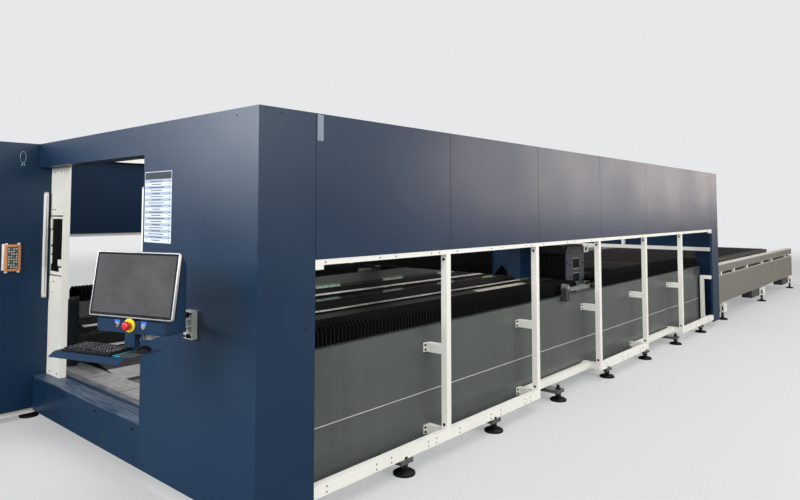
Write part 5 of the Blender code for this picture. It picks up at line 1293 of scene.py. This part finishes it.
def buildKeyboard():
    bm = bmesh.new()
    (x0, y0), (x1, y1), seat = keyboard["low"], keyboard["high"], keyboard["seat"]
    (borderX, borderY), gap, half = keyboard["border"], keyboard["gap"], keyboard["half"]
    taper = keyboard["taper"]
    addBox(bm, (x0, y0, seat), (x1, y1, seat + keyboard["base"]), 0, 0.003, 2)
    rowPitch = (x1 - x0 - 2 * borderX) / keyboard["rows"]
    keyPitch = (y1 - y0 - 2 * borderY) / keyboard["columns"]
    for row, widths in enumerate(keyboard["widths"]):
        drop = keyboard["rowDrop"] * (keyboard["rows"] - 1 - row)
        middle = Vector((x0 + borderX + (row + 0.5) * rowPitch, 0.0,
                         seat + keyboard["top"] - half - drop))
        place = y1 - borderY
        for width in widths:
            middle.y = place - width * keyPitch / 2
            place -= width * keyPitch
            key = boxShape(*(Vector((rowPitch - gap, width * keyPitch - gap, 2 * half)) * way / 2
                             for way in (-1, 1)))
            upper = [vert for vert in key.verts if vert.co.z > 0]
            bmesh.ops.scale(key, vec=(1 - taper, 1 - taper / width, 1.0), verts=upper)
            bevelEdges(key, key.edges[:], keyboard["edge"])
            joinShape(bm, key, 0, Matrix.Translation(middle))
            addBox(bm, *(middle + Vector(corner) for corner in keyboard["mark"]), 1)
    makeConsolePiece("keyboardKeys", bm, ["keyPlastic", "keyLegend"],
                     ("keyboard",))


# Mouse on its mat, of which the coloured edge is seen
mouse = {
    "low": (-0.215, -0.122), "high": (-0.115, -0.064), "seat": 1.0453, "height": 0.026,
    "halfLength": 0.049, "palm": 0.04, "narrowing": 0.12,
    "wheel": [(0.0, -0.003), (0.008, -0.003), (0.009, -0.0015), (0.009, 0.0015),
              (0.008, 0.003), (0.0, 0.003)], "wheelX": -0.189, "wheelHeight": 1.0585,
    "mat": [((-0.300, -0.0395, 1.0452), (-0.165, -0.0365, 1.0476), 2, 0.0006),
            ((-0.300, -0.085, 1.0452), (-0.2965, -0.0395, 1.0476), 2, 0.0006),
            ((-0.2965, -0.150, 1.04515), (-0.2165, -0.0396, 1.0459), 3, 0.0002)],
}


def buildMouse():
    bm = bmesh.new()
    (x0, y0), (x1, y1) = mouse["low"], mouse["high"]
    shell = bmesh.new()
    bmesh.ops.create_uvsphere(shell, u_segments=32, v_segments=20, radius=1.0)
    bmesh.ops.bisect_plane(shell, geom=shell.verts[:] + shell.edges[:] + shell.faces[:],
                           plane_co=(0, 0, 0), plane_no=(0, 0, -1), clear_outer=True)
    bmesh.ops.holes_fill(shell, edges=[edge for edge in shell.edges if edge.is_boundary], sides=0)
    # Fuller towards the palm, narrower at both ends
    for vert in shell.verts:
        vert.co.x *= 1.0 + mouse["palm"] * vert.co.z
        vert.co.y *= 1.0 - mouse["narrowing"] * vert.co.x ** 2
    bmesh.ops.scale(shell, vec=(mouse["halfLength"], (y1 - y0) / 2, mouse["height"]),
                    verts=shell.verts)
    for face in shell.faces:
        face.smooth = True
    joinShape(bm, shell, 0, Matrix.Translation(((x0 + x1) / 2, (y0 + y1) / 2, mouse["seat"])))
    addTurned(bm, mouse["wheel"], (mouse["wheelX"], (y0 + y1) / 2, mouse["wheelHeight"]),
              (0, 1, 0), 1, 20)
    addBoxes(bm, mouse["mat"])
    makeConsolePiece("mouseAndMat", bm, ["blackPlastic", "armMetal", "cyanRubber", "innerGrey"],
                     ("mouse",))


buildMonitor()
buildControls()
buildKeyboard()
buildMouse()


# Wall bracket: bolts, two ribbed knobs on its pin and two plain ones on its plate
bracket = {
    "pin": (-0.065, 0.62), "knobs": ((1.0365, 1.0626), (1.1174, 1.1430)),
    "knobRadius": (0.0165, 0.0175), "knobEdge": 0.004, "ribs": 24, "ribGrowth": 1.07,
    "bolt": (0.007, 0.005), "boltY": (0.588, 0.652), "boltZ": (1.005, 1.14), "boltX": -0.035,
    # place, radius and length
    "plain": [((-0.0352, 0.62, 1.133), 0.016, 0.022), ((-0.0352, 0.605, 1.01), 0.013, 0.016)],
}


def buildBracket():
    bm = bmesh.new()
    (small, radius), edge = bracket["knobRadius"], bracket["knobEdge"]
    for low, high in bracket["knobs"]:
        knob = turnedShape([(0.0, low), (small, low), (radius, low + edge),
                            (radius, high - edge), (small, high), (0.0, high)], bracket["ribs"])
        for vert in knob.verts:
            turn = math.atan2(vert.co.y, vert.co.x) / math.tau * bracket["ribs"]
            if vert.co.xy.length > small / 2 and round(turn) % 2:
                vert.co.xy *= bracket["ribGrowth"]
        joinShape(bm, knob, 0, Matrix.Translation((*bracket["pin"], 0)))
    addScrews(bm, bracket["bolt"], [(bracket["boltX"], y, z) for y in bracket["boltY"]
                                    for z in bracket["boltZ"]], toOperator)
    for place, radius, length in bracket["plain"]:
        addRound(bm, place, toOperator, radius, length, 0, 24, 0.003)
    makePiece("bracketKnobs", bm, ["blackPlastic"], "machine")


buildBracket()
print("console")


# Floor, light and background
studio = {
    "floor": (0.50, 0.51, 0.50), "floorSize": 120.0, "background": (0.80, 0.81, 0.82),
    "worldColour": (0.93, 0.96, 1.0), "worldLight": 0.55, "mirroredWorld": 0.28,
    "mirroredFloor": (0.10, 0.125, 0.115), "evenness": 0.4, "fade": (10.0, 26.0),
    # place, aim, size, power and colour of each soft lamp
    "lamps": {
        "overhead": ((-1.0, 0.0, 9.0), (-0.5, 0.0, 0.0), (16.0, 9.0), 950.0, (1.0, 0.99, 0.97)),
        "nearSide": ((-4.0, -12.0, 5.0), (-3.5, 0.0, 1.2), (12.0, 5.0), 760.0, (1.0, 0.99, 0.97)),
        "farEnd": ((11.0, -9.4, 3.6), (0.5, -2.0, 1.9), (10.0, 4.0), 590.0, (1.0, 0.87, 0.79)),
        "frontSheen": ((-15.0, 7.0, 4.4), (-7.0, -1.8, 2.1), (4.0, 4.0), 620.0, (0.92, 0.94, 1.0)),
        "frontFill": ((-17.0, -3.0, 5.0), (-6.0, 0.0, 1.0), (7.0, 5.0), 1050.0, (1.0, 0.99, 0.97)),
    },
}


def floorFinish():
    # A floor that passes into the background far from the machine. Only the camera sees it
    # pale: the machine's paint mirrors it darker
    paint = makeFinish("floorPaint", studio["floor"], [0.96 * share for share in studio["floor"]],
                       (3.0, 0.5), (60, 0.03), (0.55, 0.7), specular=0.2)
    tree = paint.node_tree
    distance = addNode(tree, "VectorMath", (objectPlace(tree),), operation="LENGTH")
    fade = addNode(tree, "MapRange", (distance.outputs["Value"], *studio["fade"]),
                   interpolation_type="SMOOTHSTEP").outputs[0]
    seen = addNode(tree, "LightPath").outputs["Is Camera Ray"]
    fade = calculate(tree, "MULTIPLY", blendValue(tree, fade, studio["evenness"], 1.0), seen)
    shader = tree.nodes["Principled BSDF"]
    base = shader.inputs["Base Color"]
    pale = base.links[0].from_socket
    tree.links.new(blendColour(tree, seen, (*studio["mirroredFloor"], 1), pale), base)
    far = addNode(tree, "Emission", {"Color": (*studio["background"], 1)})
    mixer = addNode(tree, "MixShader", (fade, shader.outputs[0], far.outputs[0]))
    tree.links.new(mixer.outputs[0], tree.nodes["Material Output"].inputs["Surface"])
    return paint


def buildStudio():
    bm = bmesh.new()
    bmesh.ops.create_grid(bm, x_segments=1, y_segments=1, size=studio["floorSize"])
    mesh = keepMesh("floor", bm)
    floor = bpy.data.objects.new("floor", mesh)
    bpy.context.scene.collection.objects.link(floor)
    mesh.materials.append(floorFinish())

    world = bpy.data.worlds.new("studioWorld")
    bpy.context.scene.world = world
    world.use_nodes = True
    tree = world.node_tree
    light = tree.nodes["Background"]
    light.inputs["Color"].default_value = (*studio["worldColour"], 1)
    shown = addNode(tree, "Background", {"Color": (*studio["background"], 1), "Strength": 1.0})
    path = addNode(tree, "LightPath").outputs
    strength = blendValue(tree, path["Is Glossy Ray"], studio["worldLight"],
                          studio["mirroredWorld"])
    tree.links.new(strength, light.inputs["Strength"])
    chooser = addNode(tree, "MixShader", (path["Is Camera Ray"], light.outputs[0],
                                          shown.outputs[0]))
    tree.links.new(chooser.outputs[0], tree.nodes["World Output"].inputs["Surface"])

    for name, (place, aim, size, power, colour) in studio["lamps"].items():
        data = bpy.data.lights.new(name, "AREA")
        data.shape = "RECTANGLE"
        data.size, data.size_y = size
        data.energy = power
        data.color = colour
        lamp = bpy.data.objects.new(name, data)
        lamp.location = place
        toward = Vector(aim) - Vector(place)
        lamp.rotation_mode = "QUATERNION"
        lamp.rotation_quaternion = toward.to_track_quat("-Z", "Y")
        bpy.context.scene.collection.objects.link(lamp)


buildStudio()
bpy.context.scene.view_settings.view_transform = "Standard"

print("studio")
